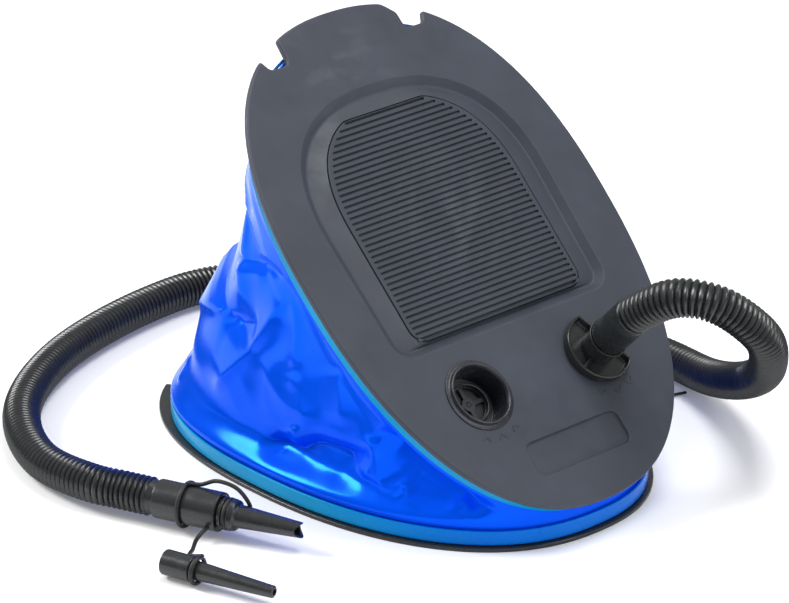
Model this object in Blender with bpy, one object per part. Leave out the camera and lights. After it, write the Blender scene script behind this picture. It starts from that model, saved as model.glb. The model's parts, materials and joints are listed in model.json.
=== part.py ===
"""Bellows foot air pump, opened, with its hose and nozzles.

Metres, +Z up. The origin is the centre of the base plate's underside, +X points to the hinged
end and -X to the end that lifts. The pedal plate and all that it carries are modelled flat, in
the pedal's own frame, and are turned up together about the hinge pin.
"""
import bpy
import bmesh
from math import acos, asin, atan2, cos, pi, radians, sin, tan
from mathutils import Matrix, Vector

MM = 0.001
GAP = 0.3 * MM

# Both plates share one oval outline, a little wider towards the lifting end.
PLATE_LENGTH = 284 * MM
PLATE_WIDTH = 200 * MM
PLATE_EXPONENT = 2.32
PLATE_WIDENING = 0.052
OUTLINE_POINTS = 72

# Hinge: the pin's place over the floor and the pedal's height over it.
OPEN_ANGLE = radians(43.2)
HINGE_X = 127.5 * MM
HINGE_Z = 21.1 * MM
PEDAL_RISE = 14.0 * MM

# Plates and the upstand that the bellows is stretched over.
LIP = 2.2 * MM
PEDAL_SLAB = 3.0 * MM
RIM_BACK = 135.0 * MM
RIM_HEIGHT = 7.0 * MM
BAND_HEIGHT = 8.0 * MM
BAND_INSET = 2.5 * MM
BAND_WALL = 1.5 * MM
SKIN_WALL = 0.9 * MM
RIM_WALL = 2.5 * MM
SKIN_INSET = BAND_INSET + BAND_WALL + GAP
RIM_INSET = SKIN_INSET + SKIN_WALL + GAP
SKIN_PINCH = 7.0 * MM
SKIN_ROWS = 4

# Cord notches in the lifting edge of both plates.
NOTCH_FLOOR_X = -121.5 * MM
NOTCH_Y = (39.0 * MM, 51.0 * MM)

# Foot recess, ribbed pad and blank label field in the pedal's top.
RECESS_DEPTH = 3.5 * MM
RECESS_SLOPE = 4.6 * MM
RECESS_WALL = 2.5 * MM
ARCH_CENTRE_X = -30.0 * MM
RECESS_TOP_X = -98.6 * MM
RECESS_BOTTOM_X = 42.0 * MM
RECESS_HALF_WIDTH = 73.5 * MM
PAD_TOP_X = -88.5 * MM
PAD_START_X = -84.5 * MM
PAD_BOTTOM_X = 35.6 * MM
PAD_HALF_WIDTH = 57.0 * MM
PAD_EXPONENT = 2.4
PAD_CORNER = 8 * MM
PAD_RISE = 2.4 * MM
GROOVE_PITCH = 3.0 * MM
GROOVE_WIDTH = 1.1 * MM
GROOVE_DEPTH = 1.2 * MM
LABEL_X = (102.0 * MM, 120.5 * MM)
LABEL_HALF_WIDTH = 31.0 * MM
LABEL_DEPTH = 1.5 * MM

# Air ports, one each side: -Y sucks (deflate), +Y blows (inflate).
PORT_X = 70.7 * MM
PORT_Y = 39.5 * MM
SOCKET_OUTER = 15.4 * MM
SOCKET_BORE = 13.2 * MM
SOCKET_DEPTH = 14.0 * MM
SOCKET_COLLAR = 19.5 * MM
SOCKET_RIM = 16.5 * MM
SOCKET_RIM_TOP = 3.0 * MM
LEDGE = 1.5 * MM
LEDGE_BORE = 10.8 * MM
THREAD_PITCH = 3.0 * MM
THREAD_HEIGHT = 0.9 * MM
THREAD_TURNS = 3
THREAD_TOP = -2.0 * MM
NECK_OUTER = 10.4 * MM
NECK_BORE = 8.9 * MM
CHAMBER_TOP = -4.8 * MM
SEAT_THICKNESS = 1.5 * MM
SEAT_OPENING = 9.2 * MM
SEAT_HUB = 3.6 * MM
SPOKE_WIDTH = 2.2 * MM
SPOKES = 4
FLAP_RADIUS = 10.3 * MM
FLAP_THICKNESS = 0.8 * MM
FLAP_TRAVEL = 2.0 * MM
STUD_RADIUS = 1.2 * MM
STUD_HEAD = 2.6 * MM
STUD_HEAD_HEIGHT = 0.9 * MM
ROUND = 24

# Hose, its connector and the fittings at its far end.
HOSE_RADIUS = 10.0 * MM
HOSE_BORE = 8.0 * MM
HOSE_SIDES = 10
HOSE_SPACING = 15.0 * MM
CUP_RADIUS = 18.4 * MM
CUP_CHORD = 6.9 * MM
CUP_HEADING = radians(27)
CUP_HEIGHT = 5.0 * MM
CUP_FLOOR = 1.5 * MM
CUP_WALL = 1.3 * MM
CUP_RIB = 1.4 * MM
COLLAR = 9.3 * MM
CONNECTOR_TUBE = 7.6 * MM
CONNECTOR_BORE = 5.8 * MM
PLUG_END = -5.0 * MM
SEAL_CENTRE = 8.25 * MM
SEAL_THICK = 0.36 * MM
SEAL_Z = -2.4 * MM
CUFF_START = 13.8 * MM
CUFF_END = 38.0 * MM
TAIL_END = 25.0 * MM
NOZZLE_Z = 12.4 * MM
NOZZLE_START = Vector((-14.6 * MM, -155.5 * MM, NOZZLE_Z))
NOZZLE_HEADING = radians(22.1)
HOSE_END = 3.1 * MM
SLEEVE_END = 38.4 * MM
TETHER_RING_Z = 18.9 * MM
SPARE_START = Vector((35.1 * MM, -188.5 * MM, 7.3 * MM))
SPARE_HEADING = radians(17.7)

# Spring and hinge fittings. A lug's places along the pin are for one side; the other is mirrored.
SPRING_X = -12.5 * MM
SPRING_RADIUS = 24.0 * MM
SPRING_WIRE = 1.4 * MM
SPRING_TURNS = 7
SPRING_STEPS = 12
SPRING_CLOSED = 0.8
SPRING_BOSS = 20.0 * MM
BOSS_WALL = 2.0 * MM
BOSS_HEIGHT = 6.0 * MM
PIN_RADIUS = 1.5 * MM
PIN_HALF_LENGTH = 22.5 * MM
PIN_HEAD = 2.6 * MM
PIN_HEAD_LENGTH = 1.6 * MM
KNUCKLE_RADIUS = 4.0 * MM
BRACKET_PAD = 2.8 * MM
BRACKET_FOOT = 2.0 * MM
BRACKET_X = (108.0 * MM, 130.0 * MM)
BRACKET_HALF_WIDTH = 25.0 * MM
BASE_LUG_Y = 18.0 * MM
PEDAL_LUG_Y = 11.0 * MM
LUG_WIDTH = 6.0 * MM
SCREW_X = 113.0 * MM
SCREW_Y = 18.0 * MM
SCREW_SHANK = 1.2 * MM
SCREW_HEAD = 2.9 * MM
SCREW_HEAD_HEIGHT = 1.8 * MM
SCREW_LENGTH = 5.2 * MM
SCREW_HOLE = SCREW_SHANK + GAP

COLOURS = {
    "charcoal_plastic": ((0.089, 0.098, 0.119), 0.55, 0.0),
    "pad_plastic": ((0.066, 0.073, 0.094), 0.6, 0.0),
    "teal_plastic": ((0.004, 0.230, 0.420), 0.35, 0.0),
    "blue_pvc": ((0.003, 0.085, 0.780), 0.2, 0.0),
    "black_plastic": ((0.022, 0.023, 0.021), 0.4, 0.0),
    "black_rubber": ((0.015, 0.015, 0.015), 0.7, 0.0),
    "spring_steel": ((0.45, 0.45, 0.46), 0.3, 1.0),
}


def clear_scene():
    for item in list(bpy.data.objects):
        bpy.data.objects.remove(item, do_unlink=True)


def material(name):
    found = bpy.data.materials.get(name)
    if found:
        return found
    colour, roughness, metallic = COLOURS[name]
    made = bpy.data.materials.new(name)
    made.use_nodes = True
    shader = made.node_tree.nodes["Principled BSDF"]
    shader.inputs["Base Color"].default_value = (*colour, 1.0)
    shader.inputs["Roughness"].default_value = roughness
    shader.inputs["Metallic"].default_value = metallic
    made.diffuse_color = (*colour, 1.0)
    return made


def empty(name, location, rotation=(0.0, 0.0, 0.0), parent=None):
    item = bpy.data.objects.new(name, None)
    item.location = location
    item.rotation_euler = rotation
    item.parent = parent
    bpy.context.scene.collection.objects.link(item)
    return item


def solid(name, mesh_data, finish, parent=None, location=(0.0, 0.0, 0.0)):
    """Turns a bmesh into one named object with its own material."""
    bmesh.ops.recalc_face_normals(mesh_data, faces=mesh_data.faces)
    mesh = bpy.data.meshes.new(name)
    mesh_data.to_mesh(mesh)
    mesh_data.free()
    mesh.shade_smooth()
    mesh.set_sharp_from_angle(angle=radians(35))
    item = bpy.data.objects.new(name, mesh)
    item.parent = parent
    item.location = location
    bpy.context.scene.collection.objects.link(item)
    mesh.materials.append(material(finish))
    return item


def helper(name, mesh_data, parent=None, location=(0.0, 0.0, 0.0)):
    """A shape that only cuts or joins another one."""
    item = solid(name, mesh_data, "black_plastic", parent, location)
    item.hide_render = True
    item.display_type = "WIRE"
    return item


def combine(target, tool, operation):
    modifier = target.modifiers.new(tool.name, "BOOLEAN")
    modifier.operation = operation
    modifier.solver = "EXACT"
    modifier.object = tool


def cut(target, tool):
    combine(target, tool, "DIFFERENCE")


def join(target, tool):
    combine(target, tool, "UNION")


# Outlines, all counter-clockwise lists of (x, y).

def signed_power(value, power):
    return abs(value) ** power * (1 if value >= 0 else -1)


def oval(back, front, half_width, exponent, widening=0.0, count=OUTLINE_POINTS):
    points = []
    for index in range(count):
        angle = 2 * pi * index / count
        c, s = cos(angle), sin(angle)
        reach = front if c > 0 else back
        x = reach * signed_power(c, 2 / exponent)
        y = half_width * signed_power(s, 2 / exponent) * (1 - widening * c)
        points.append(Vector((x, y)))
    return points


def inset(points, distance):
    """Moves every side of a closed outline inwards by the distance."""
    moved = []
    for index, point in enumerate(points):
        before = (point - points[index - 1]).normalized()
        after = (points[(index + 1) % len(points)] - point).normalized()
        inward = Vector((-before.y - after.y, before.x + after.x)).normalized()
        half_turn = acos(max(-1.0, min(1.0, before.dot(after)))) / 2
        moved.append(point + inward * distance / cos(half_turn))
    return moved


def rounded(corners, radius, steps=5):
    """A polygon with its corners replaced by arcs."""
    points = []
    for index, corner in enumerate(corners):
        corner = Vector(corner)
        to_before = (Vector(corners[index - 1]) - corner).normalized()
        to_after = (Vector(corners[(index + 1) % len(corners)]) - corner).normalized()
        half = acos(max(-1.0, min(1.0, to_before.dot(to_after)))) / 2
        centre = corner + (to_before + to_after).normalized() * radius / sin(half)
        start = corner + to_before * radius / tan(half) - centre
        end = corner + to_after * radius / tan(half) - centre
        sweep = (atan2(end.y, end.x) - atan2(start.y, start.x) + pi) % (2 * pi) - pi
        for step in range(steps + 1):
            points.append(centre + Matrix.Rotation(sweep * step / steps, 2) @ start)
    return points


def arch(top_x, bottom_x, half_width, taper, exponent, corner, steps=16):
    """An outline that is oval towards -X and square, with round corners, at its +X end."""
    reach = ARCH_CENTRE_X - top_x
    points = []
    for step in range(steps + 1):
        angle = pi / 2 + pi * step / steps
        x = ARCH_CENTRE_X + reach * signed_power(cos(angle), 2 / exponent)
        points.append(Vector((x, half_width * signed_power(sin(angle), 2 / exponent))))
    low = half_width - taper
    ends = rounded([(bottom_x, -low), (bottom_x, low), (0, half_width), (0, -half_width)], corner)
    return points + ends[:12]


def plate_outline():
    half = PLATE_LENGTH / 2
    return oval(half, half, PLATE_WIDTH / 2, PLATE_EXPONENT, PLATE_WIDENING)


def rim_outline(distance):
    """The line of the bellows' edge: the plates' outline, drawn in a little at the lifting end."""
    outline = oval(RIM_BACK, PLATE_LENGTH / 2, PLATE_WIDTH / 2, PLATE_EXPONENT, PLATE_WIDENING)
    return inset(outline, distance)


# Closed meshes.

def stack(rings, wrap=False):
    """Joins rings of equal count into a closed mesh: capped at both ends, or wrapped round."""
    made = bmesh.new()
    loops = [[made.verts.new(point) for point in ring] for ring in rings]
    pairs = list(zip(loops, loops[1:] + loops[:1])) if wrap else list(zip(loops, loops[1:]))
    for low, high in pairs:
        for index in range(len(low)):
            after = (index + 1) % len(low)
            made.faces.new((low[index], low[after], high[after], high[index]))
    if not wrap:
        made.faces.new(loops[0])
        made.faces.new(loops[-1])
    return made


def level(points, z):
    return [Vector((point.x, point.y, z)) for point in points]


def slab(points, bottom, top):
    return stack([level(points, bottom), level(points, top)])


def wall(outer, inner, bottom, top):
    return stack([level(outer, bottom), level(outer, top), level(inner, top), level(inner, bottom)],
                 wrap=True)


def box(low, high):
    corners = [Vector((low[0], low[1])), Vector((high[0], low[1])),
               Vector((high[0], high[1])), Vector((low[0], high[1]))]
    return slab(corners, low[2], high[2])


def circle(radius, count=ROUND):
    angles = [2 * pi * index / count for index in range(count)]
    return [Vector((radius * cos(a), radius * sin(a))) for a in angles]


def turned(profile, count=ROUND):
    """A ring: a closed (radius, z) profile turned about Z."""
    return stack([level(circle(radius, count), z) for radius, z in profile], wrap=True)


def spindle(profile, count=ROUND):
    """A full body: an open (radius, z) profile turned about Z and capped at both ends."""
    return stack([level(circle(radius, count), z) for radius, z in profile])


def disc(radius, bottom, top, count=ROUND):
    return slab(circle(radius, count), bottom, top)


def frames(path):
    """Turns a path into frames whose sides don't twist."""
    tangents = []
    for index in range(len(path)):
        before = path[max(index - 1, 0)]
        after = path[min(index + 1, len(path) - 1)]
        tangents.append((after - before).normalized())
    side = tangents[0].orthogonal().normalized()
    result = []
    for point, tangent in zip(path, tangents):
        side = (side - tangent * side.dot(tangent)).normalized()
        result.append((point, side, tangent.cross(side)))
    return result


def tube_rings(path, radius, sides):
    rings = []
    for point, side, up in frames(path):
        angles = [2 * pi * index / sides for index in range(sides)]
        rings.append([point + (side * cos(a) + up * sin(a)) * radius for a in angles])
    return rings


def smooth_path(knots, spacing):
    """A centripetal Catmull-Rom curve through the knots, in steps of about the spacing."""
    points = [knots[0] * 2 - knots[1], *knots, knots[-1] * 2 - knots[-2]]
    path = [knots[0]]
    for a, b, c, d in zip(points, points[1:], points[2:], points[3:]):
        before, across, after = [(q - p).length ** 0.5 for p, q in ((a, b), (b, c), (c, d))]
        leave = ((b - a) / before - (c - a) / (before + across) + (c - b) / across) * across
        arrive = ((c - b) / across - (d - b) / (across + after) + (d - c) / after) * across
        steps = max(1, round((c - b).length / spacing))
        for step in range(1, steps + 1):
            t = step / steps
            path.append(b * (2 * t ** 3 - 3 * t ** 2 + 1) + leave * (t ** 3 - 2 * t ** 2 + t)
                        + c * (3 * t ** 2 - 2 * t ** 3) + arrive * (t ** 3 - t ** 2))
    return path


# Plates.

def notch_cutter(name, side, bottom, top, parent=None, location=(0.0, 0.0, 0.0)):
    """A cord notch: a round-bottomed slot with a splayed outer edge.

    The far notch's inner edge is splayed as well, so that the cord slips in from that side.
    """
    near, far = NOTCH_Y
    outside = -150 * MM
    if side > 0:
        inner = [(outside, 21 * MM), (-131 * MM, near)]
    else:
        inner = [(outside, 37 * MM)]
    corners = [(NOTCH_FLOOR_X, far), (outside, 64 * MM), *inner, (NOTCH_FLOOR_X, near)]
    points = rounded(corners, 3.0 * MM)
    if side < 0:
        points = [Vector((point.x, -point.y)) for point in reversed(points)]
    return helper(name, slab(points, bottom, top), parent, location)


def base_plate():
    plate = solid("base_plate", slab(plate_outline(), 0, LIP), "black_plastic")
    outer = rim_outline(RIM_INSET)
    upstand = wall(outer, rim_outline(RIM_INSET + RIM_WALL), LIP / 2, LIP + RIM_HEIGHT)
    join(plate, helper("base_upstand", upstand))
    boss = wall(circle(SPRING_BOSS), circle(SPRING_BOSS - BOSS_WALL), LIP / 2, LIP + BOSS_HEIGHT)
    join(plate, helper("base_spring_boss", boss, location=(SPRING_X, 0, 0)))
    low, high = BRACKET_X
    pad = box((low, -BRACKET_HALF_WIDTH, LIP / 2), (high, BRACKET_HALF_WIDTH, LIP + BRACKET_PAD))
    join(plate, helper("base_hinge_pad", pad))
    for side in (-1, 1):
        cut(plate, notch_cutter(f"base_notch_{side}", side, -LIP, 2 * LIP))
        hole = disc(SCREW_HOLE, 1.0 * MM, 2 * LIP + BRACKET_PAD, 12)
        cut(plate, helper(f"base_screw_hole_{side}", hole, location=(SCREW_X, side * SCREW_Y, 0)))
    return plate


def pedal_plate(frame):
    """The pedal's top is z = 0 in its own frame, whose X is the base plate's when closed."""
    plate = solid("pedal_plate", slab(plate_outline(), -PEDAL_SLAB, 0), "charcoal_plastic", frame)
    outer = rim_outline(RIM_INSET)
    bottom = -PEDAL_SLAB - RIM_HEIGHT
    skirt = wall(outer, rim_outline(RIM_INSET + RIM_WALL), bottom, -PEDAL_SLAB / 2)
    join(plate, helper("pedal_skirt", skirt, frame))
    recess = arch(RECESS_TOP_X, RECESS_BOTTOM_X, RECESS_HALF_WIDTH, 2.5 * MM, 2.4, 12 * MM)
    dish_bottom = -RECESS_DEPTH - RECESS_WALL
    dish = slab(inset(recess, -RECESS_WALL), dish_bottom, -PEDAL_SLAB / 2)
    join(plate, helper("pedal_dish", dish, frame))
    boss = wall(circle(SPRING_BOSS), circle(SPRING_BOSS - BOSS_WALL),
                dish_bottom + MM - BOSS_HEIGHT, dish_bottom + MM)
    join(plate, helper("pedal_spring_boss", boss, frame, (SPRING_X, 0, 0)))
    low, high = BRACKET_X
    pad = box((low, -BRACKET_HALF_WIDTH, -PEDAL_SLAB - BRACKET_PAD),
              (high, BRACKET_HALF_WIDTH, -PEDAL_SLAB / 2))
    join(plate, helper("pedal_hinge_pad", pad, frame))
    foot = level(inset(recess, RECESS_SLOPE), -RECESS_DEPTH)
    cut(plate, helper("pedal_recess", stack([foot, level(recess, 0), level(recess, MM)]), frame))
    corners = [(LABEL_X[0], -LABEL_HALF_WIDTH), (LABEL_X[1], -LABEL_HALF_WIDTH),
               (LABEL_X[1], LABEL_HALF_WIDTH), (LABEL_X[0], LABEL_HALF_WIDTH)]
    cut(plate, helper("pedal_label_field", slab(rounded(corners, 4.5 * MM), -LABEL_DEPTH, MM), frame))
    for side, port_radius in ((-1, SOCKET_OUTER), (1, NECK_OUTER)):
        cut(plate, notch_cutter(f"pedal_notch_{side}", side, -2 * PEDAL_SLAB, MM, frame))
        hole = disc(port_radius + GAP, -SOCKET_DEPTH, MM)
        cut(plate, helper(f"pedal_port_hole_{side}", hole, frame, (PORT_X, side * PORT_Y, 0)))
        hole = disc(SCREW_HOLE, -PEDAL_SLAB - 2 * BRACKET_PAD, -0.6 * PEDAL_SLAB, 12)
        cut(plate, helper(f"pedal_screw_hole_{side}", hole, frame, (SCREW_X, side * SCREW_Y, 0)))
    return plate


def band(name, bottom, top, parent=None):
    """The moulded band that clamps the bellows' edge on a plate's upstand."""
    ring = wall(rim_outline(BAND_INSET), rim_outline(BAND_INSET + BAND_WALL), bottom, top)
    return solid(name, ring, "teal_plastic", parent)


def foot_pad(frame):
    """A ribbed insert: a comb profile along X whose length along Y follows the arch."""
    reach = ARCH_CENTRE_X - PAD_TOP_X
    bottom = -RECESS_DEPTH + GAP
    top = bottom + PAD_RISE

    def half_width(x):
        if x >= ARCH_CENTRE_X:
            corner = max(0.0, x - (PAD_BOTTOM_X - PAD_CORNER))
            return PAD_HALF_WIDTH - PAD_CORNER + (PAD_CORNER ** 2 - corner ** 2) ** 0.5
        part = (ARCH_CENTRE_X - x) / reach
        return PAD_HALF_WIDTH * (1 - part ** PAD_EXPONENT) ** (1 / PAD_EXPONENT)

    start = PAD_START_X
    grooves = int((PAD_BOTTOM_X - 2 * MM - start) / GROOVE_PITCH)
    profile = [(start, bottom), (start, top)]
    for groove in range(grooves):
        x = start + (groove + 1) * GROOVE_PITCH - GROOVE_WIDTH
        profile += [(x, top), (x, top - GROOVE_DEPTH)]
        profile += [(x + GROOVE_WIDTH, top - GROOVE_DEPTH), (x + GROOVE_WIDTH, top)]
    profile += [(PAD_BOTTOM_X, top), (PAD_BOTTOM_X, bottom)]
    made = bmesh.new()
    left = [made.verts.new((x, -half_width(x), z)) for x, z in profile]
    right = [made.verts.new((x, half_width(x), z)) for x, z in profile]
    floor = [i for i, (x, z) in enumerate(profile) if z == top - GROOVE_DEPTH]
    keel_left = {i: made.verts.new((profile[i][0], -half_width(profile[i][0]), bottom)) for i in floor}
    keel_right = {i: made.verts.new((profile[i][0], half_width(profile[i][0]), bottom)) for i in floor}
    last = len(profile) - 1
    for keel, edge in ((keel_left, left), (keel_right, right)):
        keel.update({0: edge[0], last: edge[last]})
    for index in range(last):
        made.faces.new((left[index], left[index + 1], right[index + 1], right[index]))
    below = sorted(keel_left)
    for first, second in zip(below, below[1:]):
        made.faces.new((keel_left[first], keel_right[first], keel_right[second], keel_left[second]))
        for keel, edge in ((keel_left, left), (keel_right, right)):
            between = list(range(first, second + 1))
            between = [i for i in between if i not in (0, last)]
            made.faces.new([keel[first], *[edge[i] for i in between], keel[second]])
    return solid("foot_pad", made, "pad_plastic", frame)


# Bellows and return spring, both swept about the hinge pin between the two plates.

def pedal_to_base(point):
    """Moves a point of the pedal's frame to the base's frame, with the pump open."""
    turned_up = Matrix.Rotation(OPEN_ANGLE, 3, "Y") @ (point - Vector((HINGE_X, 0, -PEDAL_RISE)))
    return turned_up + Vector((HINGE_X, 0, HINGE_Z))


def bellows_ring(distance, share):
    """One row of the skin's free part, drawn in a little where the mouth is wide."""
    ring = []
    low_z = LIP + BAND_HEIGHT
    high_z = -PEDAL_SLAB - BAND_HEIGHT + MM
    for point in rim_outline(distance):
        low = Vector((point.x, point.y, low_z))
        high = pedal_to_base(Vector((point.x, point.y, high_z)))
        place = low.lerp(high, share)
        mouth = (high - low).length / (RIM_BACK + HINGE_X)
        inward = -Vector((point.x, point.y, 0)).normalized()
        ring.append(place + inward * SKIN_PINCH * mouth * sin(pi * share))
    return ring


def bellows():
    rings = []
    for distance, order in ((SKIN_INSET, 1), (SKIN_INSET + SKIN_WALL, -1)):
        outline = rim_outline(distance)
        side = [level(outline, LIP + GAP)]
        side += [bellows_ring(distance, row / SKIN_ROWS) for row in range(SKIN_ROWS + 1)]
        side.append([pedal_to_base(point) for point in level(outline, -PEDAL_SLAB - GAP)])
        rings += side[::order]
    return solid("bellows", stack(rings, wrap=True), "blue_pvc")


def polar(point):
    """A point's distance from the hinge pin and its angle up from the base."""
    x, z = HINGE_X - point.x, point.z - HINGE_Z
    return (x * x + z * z) ** 0.5, atan2(z, x)


def return_spring():
    """A coil whose turns fan out about the hinge pin, with nearly a full closed turn at each end."""
    path = []
    foot = LIP + SPRING_WIRE + GAP
    head = -RECESS_DEPTH - RECESS_WALL - SPRING_WIRE - GAP
    lift = 2.4 * SPRING_WIRE
    for step in range(SPRING_TURNS * SPRING_STEPS + 1):
        turn = step / SPRING_STEPS
        left = SPRING_TURNS - turn
        share = (turn - SPRING_CLOSED) / (SPRING_TURNS - 2 * SPRING_CLOSED)
        share = min(1.0, max(0.0, share))
        x = SPRING_X + SPRING_RADIUS * cos(2 * pi * turn)
        y = SPRING_RADIUS * sin(2 * pi * turn)
        low_z = foot + lift * min(1.0, turn / SPRING_CLOSED)
        high_z = head - lift * min(1.0, left / SPRING_CLOSED)
        low = polar(Vector((x, y, low_z)))
        high = polar(pedal_to_base(Vector((x, y, high_z))))
        radius = low[0] * (1 - share) + high[0] * share
        angle = low[1] * (1 - share) + high[1] * share
        path.append(Vector((HINGE_X - radius * cos(angle), y, HINGE_Z + radius * sin(angle))))
    return solid("return_spring", stack(tube_rings(path, SPRING_WIRE, 6)), "spring_steel")


# Hinge.

def hinge_bracket(name, lug_place, foot_z, axis_z, parent=None):
    """A foot with a lug each side; foot_z is the face that meets the plate's pad."""
    up = 1 if axis_z > foot_z else -1
    low, high = BRACKET_X
    levels = sorted((foot_z, foot_z + up * BRACKET_FOOT))
    foot = box((low, -BRACKET_HALF_WIDTH, levels[0]), (high, BRACKET_HALF_WIDTH, levels[1]))
    bracket = solid(name, foot, "charcoal_plastic", parent)
    lug = [(KNUCKLE_RADIUS * cos(pi * step / 12), up * KNUCKLE_RADIUS * sin(pi * step / 12))
           for step in range(13)]
    lug += [(-KNUCKLE_RADIUS, foot_z - axis_z), (KNUCKLE_RADIUS, foot_z - axis_z)]
    for side in (-1, 1):
        faces = (side * lug_place - LUG_WIDTH / 2, side * lug_place + LUG_WIDTH / 2)
        rings = [[Vector((HINGE_X + x, y, axis_z + z)) for x, z in lug] for y in faces]
        join(bracket, helper(f"{name}_lug_{side}", stack(rings), parent))
    bore = disc(PIN_RADIUS + GAP, -BRACKET_HALF_WIDTH, BRACKET_HALF_WIDTH, 16)
    bore.transform(Matrix.Rotation(pi / 2, 4, "X"))
    cut(bracket, helper(f"{name}_bore", bore, parent, (HINGE_X, 0, axis_z)))
    for side in (-1, 1):
        hole = disc(SCREW_HOLE, levels[0] - MM, levels[1] + MM, 12)
        cut(bracket, helper(f"{name}_hole_{side}", hole, parent, (SCREW_X, side * SCREW_Y, 0)))
    return bracket


def hinge_pin():
    profile = [(PIN_RADIUS, -PIN_HALF_LENGTH), (PIN_RADIUS, PIN_HALF_LENGTH),
               (PIN_HEAD, PIN_HALF_LENGTH), (PIN_HEAD, PIN_HALF_LENGTH + PIN_HEAD_LENGTH)]
    pin = spindle(profile, 16)
    pin.transform(Matrix.Rotation(-pi / 2, 4, "X"))
    return solid("hinge_pin", pin, "spring_steel", location=(HINGE_X, 0, HINGE_Z))


def screw(name, head_z, direction, side, parent=None):
    """A pan-head screw whose head sits at head_z and whose shank runs along direction."""
    crown = -direction * SCREW_HEAD_HEIGHT
    profile = [(SCREW_HEAD * 0.7, crown), (SCREW_HEAD, crown * 0.6), (SCREW_HEAD, 0),
               (SCREW_SHANK, 0), (SCREW_SHANK, direction * SCREW_LENGTH)]
    return solid(name, spindle(profile, 12), "spring_steel", parent,
                 (SCREW_X, side * SCREW_Y, head_z))


# Ports and valves. Each port's frame has its origin on the pedal's top and Z along its axis.

def socket_floor():
    """The lower end of both sockets' bores: a ledge for the valve seat."""
    return [(SOCKET_BORE, -SOCKET_DEPTH + LEDGE), (LEDGE_BORE, -SOCKET_DEPTH + LEDGE),
            (LEDGE_BORE, -SOCKET_DEPTH)]


def deflate_socket(port):
    """An open, threaded socket with a collar on the plate and a raised rim."""
    profile = [(SOCKET_OUTER, -SOCKET_DEPTH), (SOCKET_OUTER, GAP), (SOCKET_COLLAR, GAP),
               (SOCKET_COLLAR, 1.0 * MM), (SOCKET_RIM, 1.3 * MM), (SOCKET_RIM, SOCKET_RIM_TOP),
               (SOCKET_BORE, SOCKET_RIM_TOP)]
    for turn in range(THREAD_TURNS):
        z = THREAD_TOP - turn * THREAD_PITCH
        profile += [(SOCKET_BORE, z), (SOCKET_BORE - THREAD_HEIGHT, z - 0.8 * MM),
                    (SOCKET_BORE, z - 1.6 * MM)]
    return solid("deflate_socket", turned(profile + socket_floor()), "charcoal_plastic", port)


def inflate_socket(port):
    """A valve chamber under the plate, with a narrow neck that ends level with the plate's top."""
    below = -PEDAL_SLAB - GAP
    profile = [(SOCKET_OUTER, -SOCKET_DEPTH), (SOCKET_OUTER, below), (NECK_OUTER, below),
               (NECK_OUTER, 0), (NECK_BORE, 0), (NECK_BORE, CHAMBER_TOP), (SOCKET_BORE, CHAMBER_TOP)]
    return solid("inflate_socket", turned(profile + socket_floor()), "charcoal_plastic", port)


def valve_seat(name, port):
    """A spoked disc that rests on the socket's inner ledge."""
    low = -SOCKET_DEPTH + LEDGE + GAP
    high = low + SEAT_THICKNESS
    outer = SOCKET_BORE - GAP
    rim = turned([(outer, low), (outer, high), (SEAT_OPENING, high), (SEAT_OPENING, low)])
    seat = solid(name, rim, "charcoal_plastic", port)
    hub = turned([(SEAT_HUB, low), (SEAT_HUB, high), (STUD_RADIUS + GAP, high),
                  (STUD_RADIUS + GAP, low)], 16)
    join(seat, helper(f"{name}_hub", hub, port))
    bury, recede = 0.5 * MM, 0.1 * MM
    for spoke in range(SPOKES):
        bar = box((SEAT_HUB - bury, -SPOKE_WIDTH / 2, low + recede),
                  (SEAT_OPENING + bury, SPOKE_WIDTH / 2, high - recede))
        bar.transform(Matrix.Rotation(2 * pi * spoke / SPOKES, 4, "Z"))
        join(seat, helper(f"{name}_spoke_{spoke}", bar, port))
    return seat


def flap(name, port, low):
    """A floating rubber disc; its origin is on the port's axis, at its own mid height."""
    half = FLAP_THICKNESS / 2
    hole = STUD_RADIUS + 0.4 * MM
    ring = turned([(FLAP_RADIUS, -half), (FLAP_RADIUS, half), (hole, half), (hole, -half)])
    return solid(name, ring, "black_rubber", port, (0, 0, low + half))


def stud(name, port, near, far):
    """The rivet that guides a flap: its shank starts at near, and its head is at far."""
    end = far + STUD_HEAD_HEIGHT * (1 if far > near else -1)
    rivet = spindle([(STUD_RADIUS, near), (STUD_RADIUS, far), (STUD_HEAD, far), (STUD_HEAD, end)], 16)
    return solid(name, rivet, "black_plastic", port)


def intake_valve(port):
    valve_seat("intake_valve_seat", port)
    seat_low = -SOCKET_DEPTH + LEDGE + GAP
    flap_low = seat_low - GAP - FLAP_THICKNESS
    flap("intake_flap", port, flap_low)
    stud("intake_flap_stud", port, seat_low + SEAT_THICKNESS, flap_low - FLAP_TRAVEL - GAP)


def outlet_valve(port):
    valve_seat("outlet_valve_seat", port)
    seat_high = -SOCKET_DEPTH + LEDGE + GAP + SEAT_THICKNESS
    flap_low = seat_high + GAP
    flap("outlet_flap", port, flap_low)
    stud("outlet_flap_stud", port, seat_high - SEAT_THICKNESS,
         flap_low + FLAP_THICKNESS + FLAP_TRAVEL + GAP)


def d_outline(radius, chord):
    """A circle that is cut off straight at y = chord."""
    half_missing = pi / 2 - asin(chord / radius)
    start, sweep = pi / 2 + half_missing, 2 * (pi - half_missing)
    angles = [start + sweep * step / ROUND for step in range(ROUND + 1)]
    return [Vector((radius * cos(a), radius * sin(a))) for a in angles]


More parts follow.
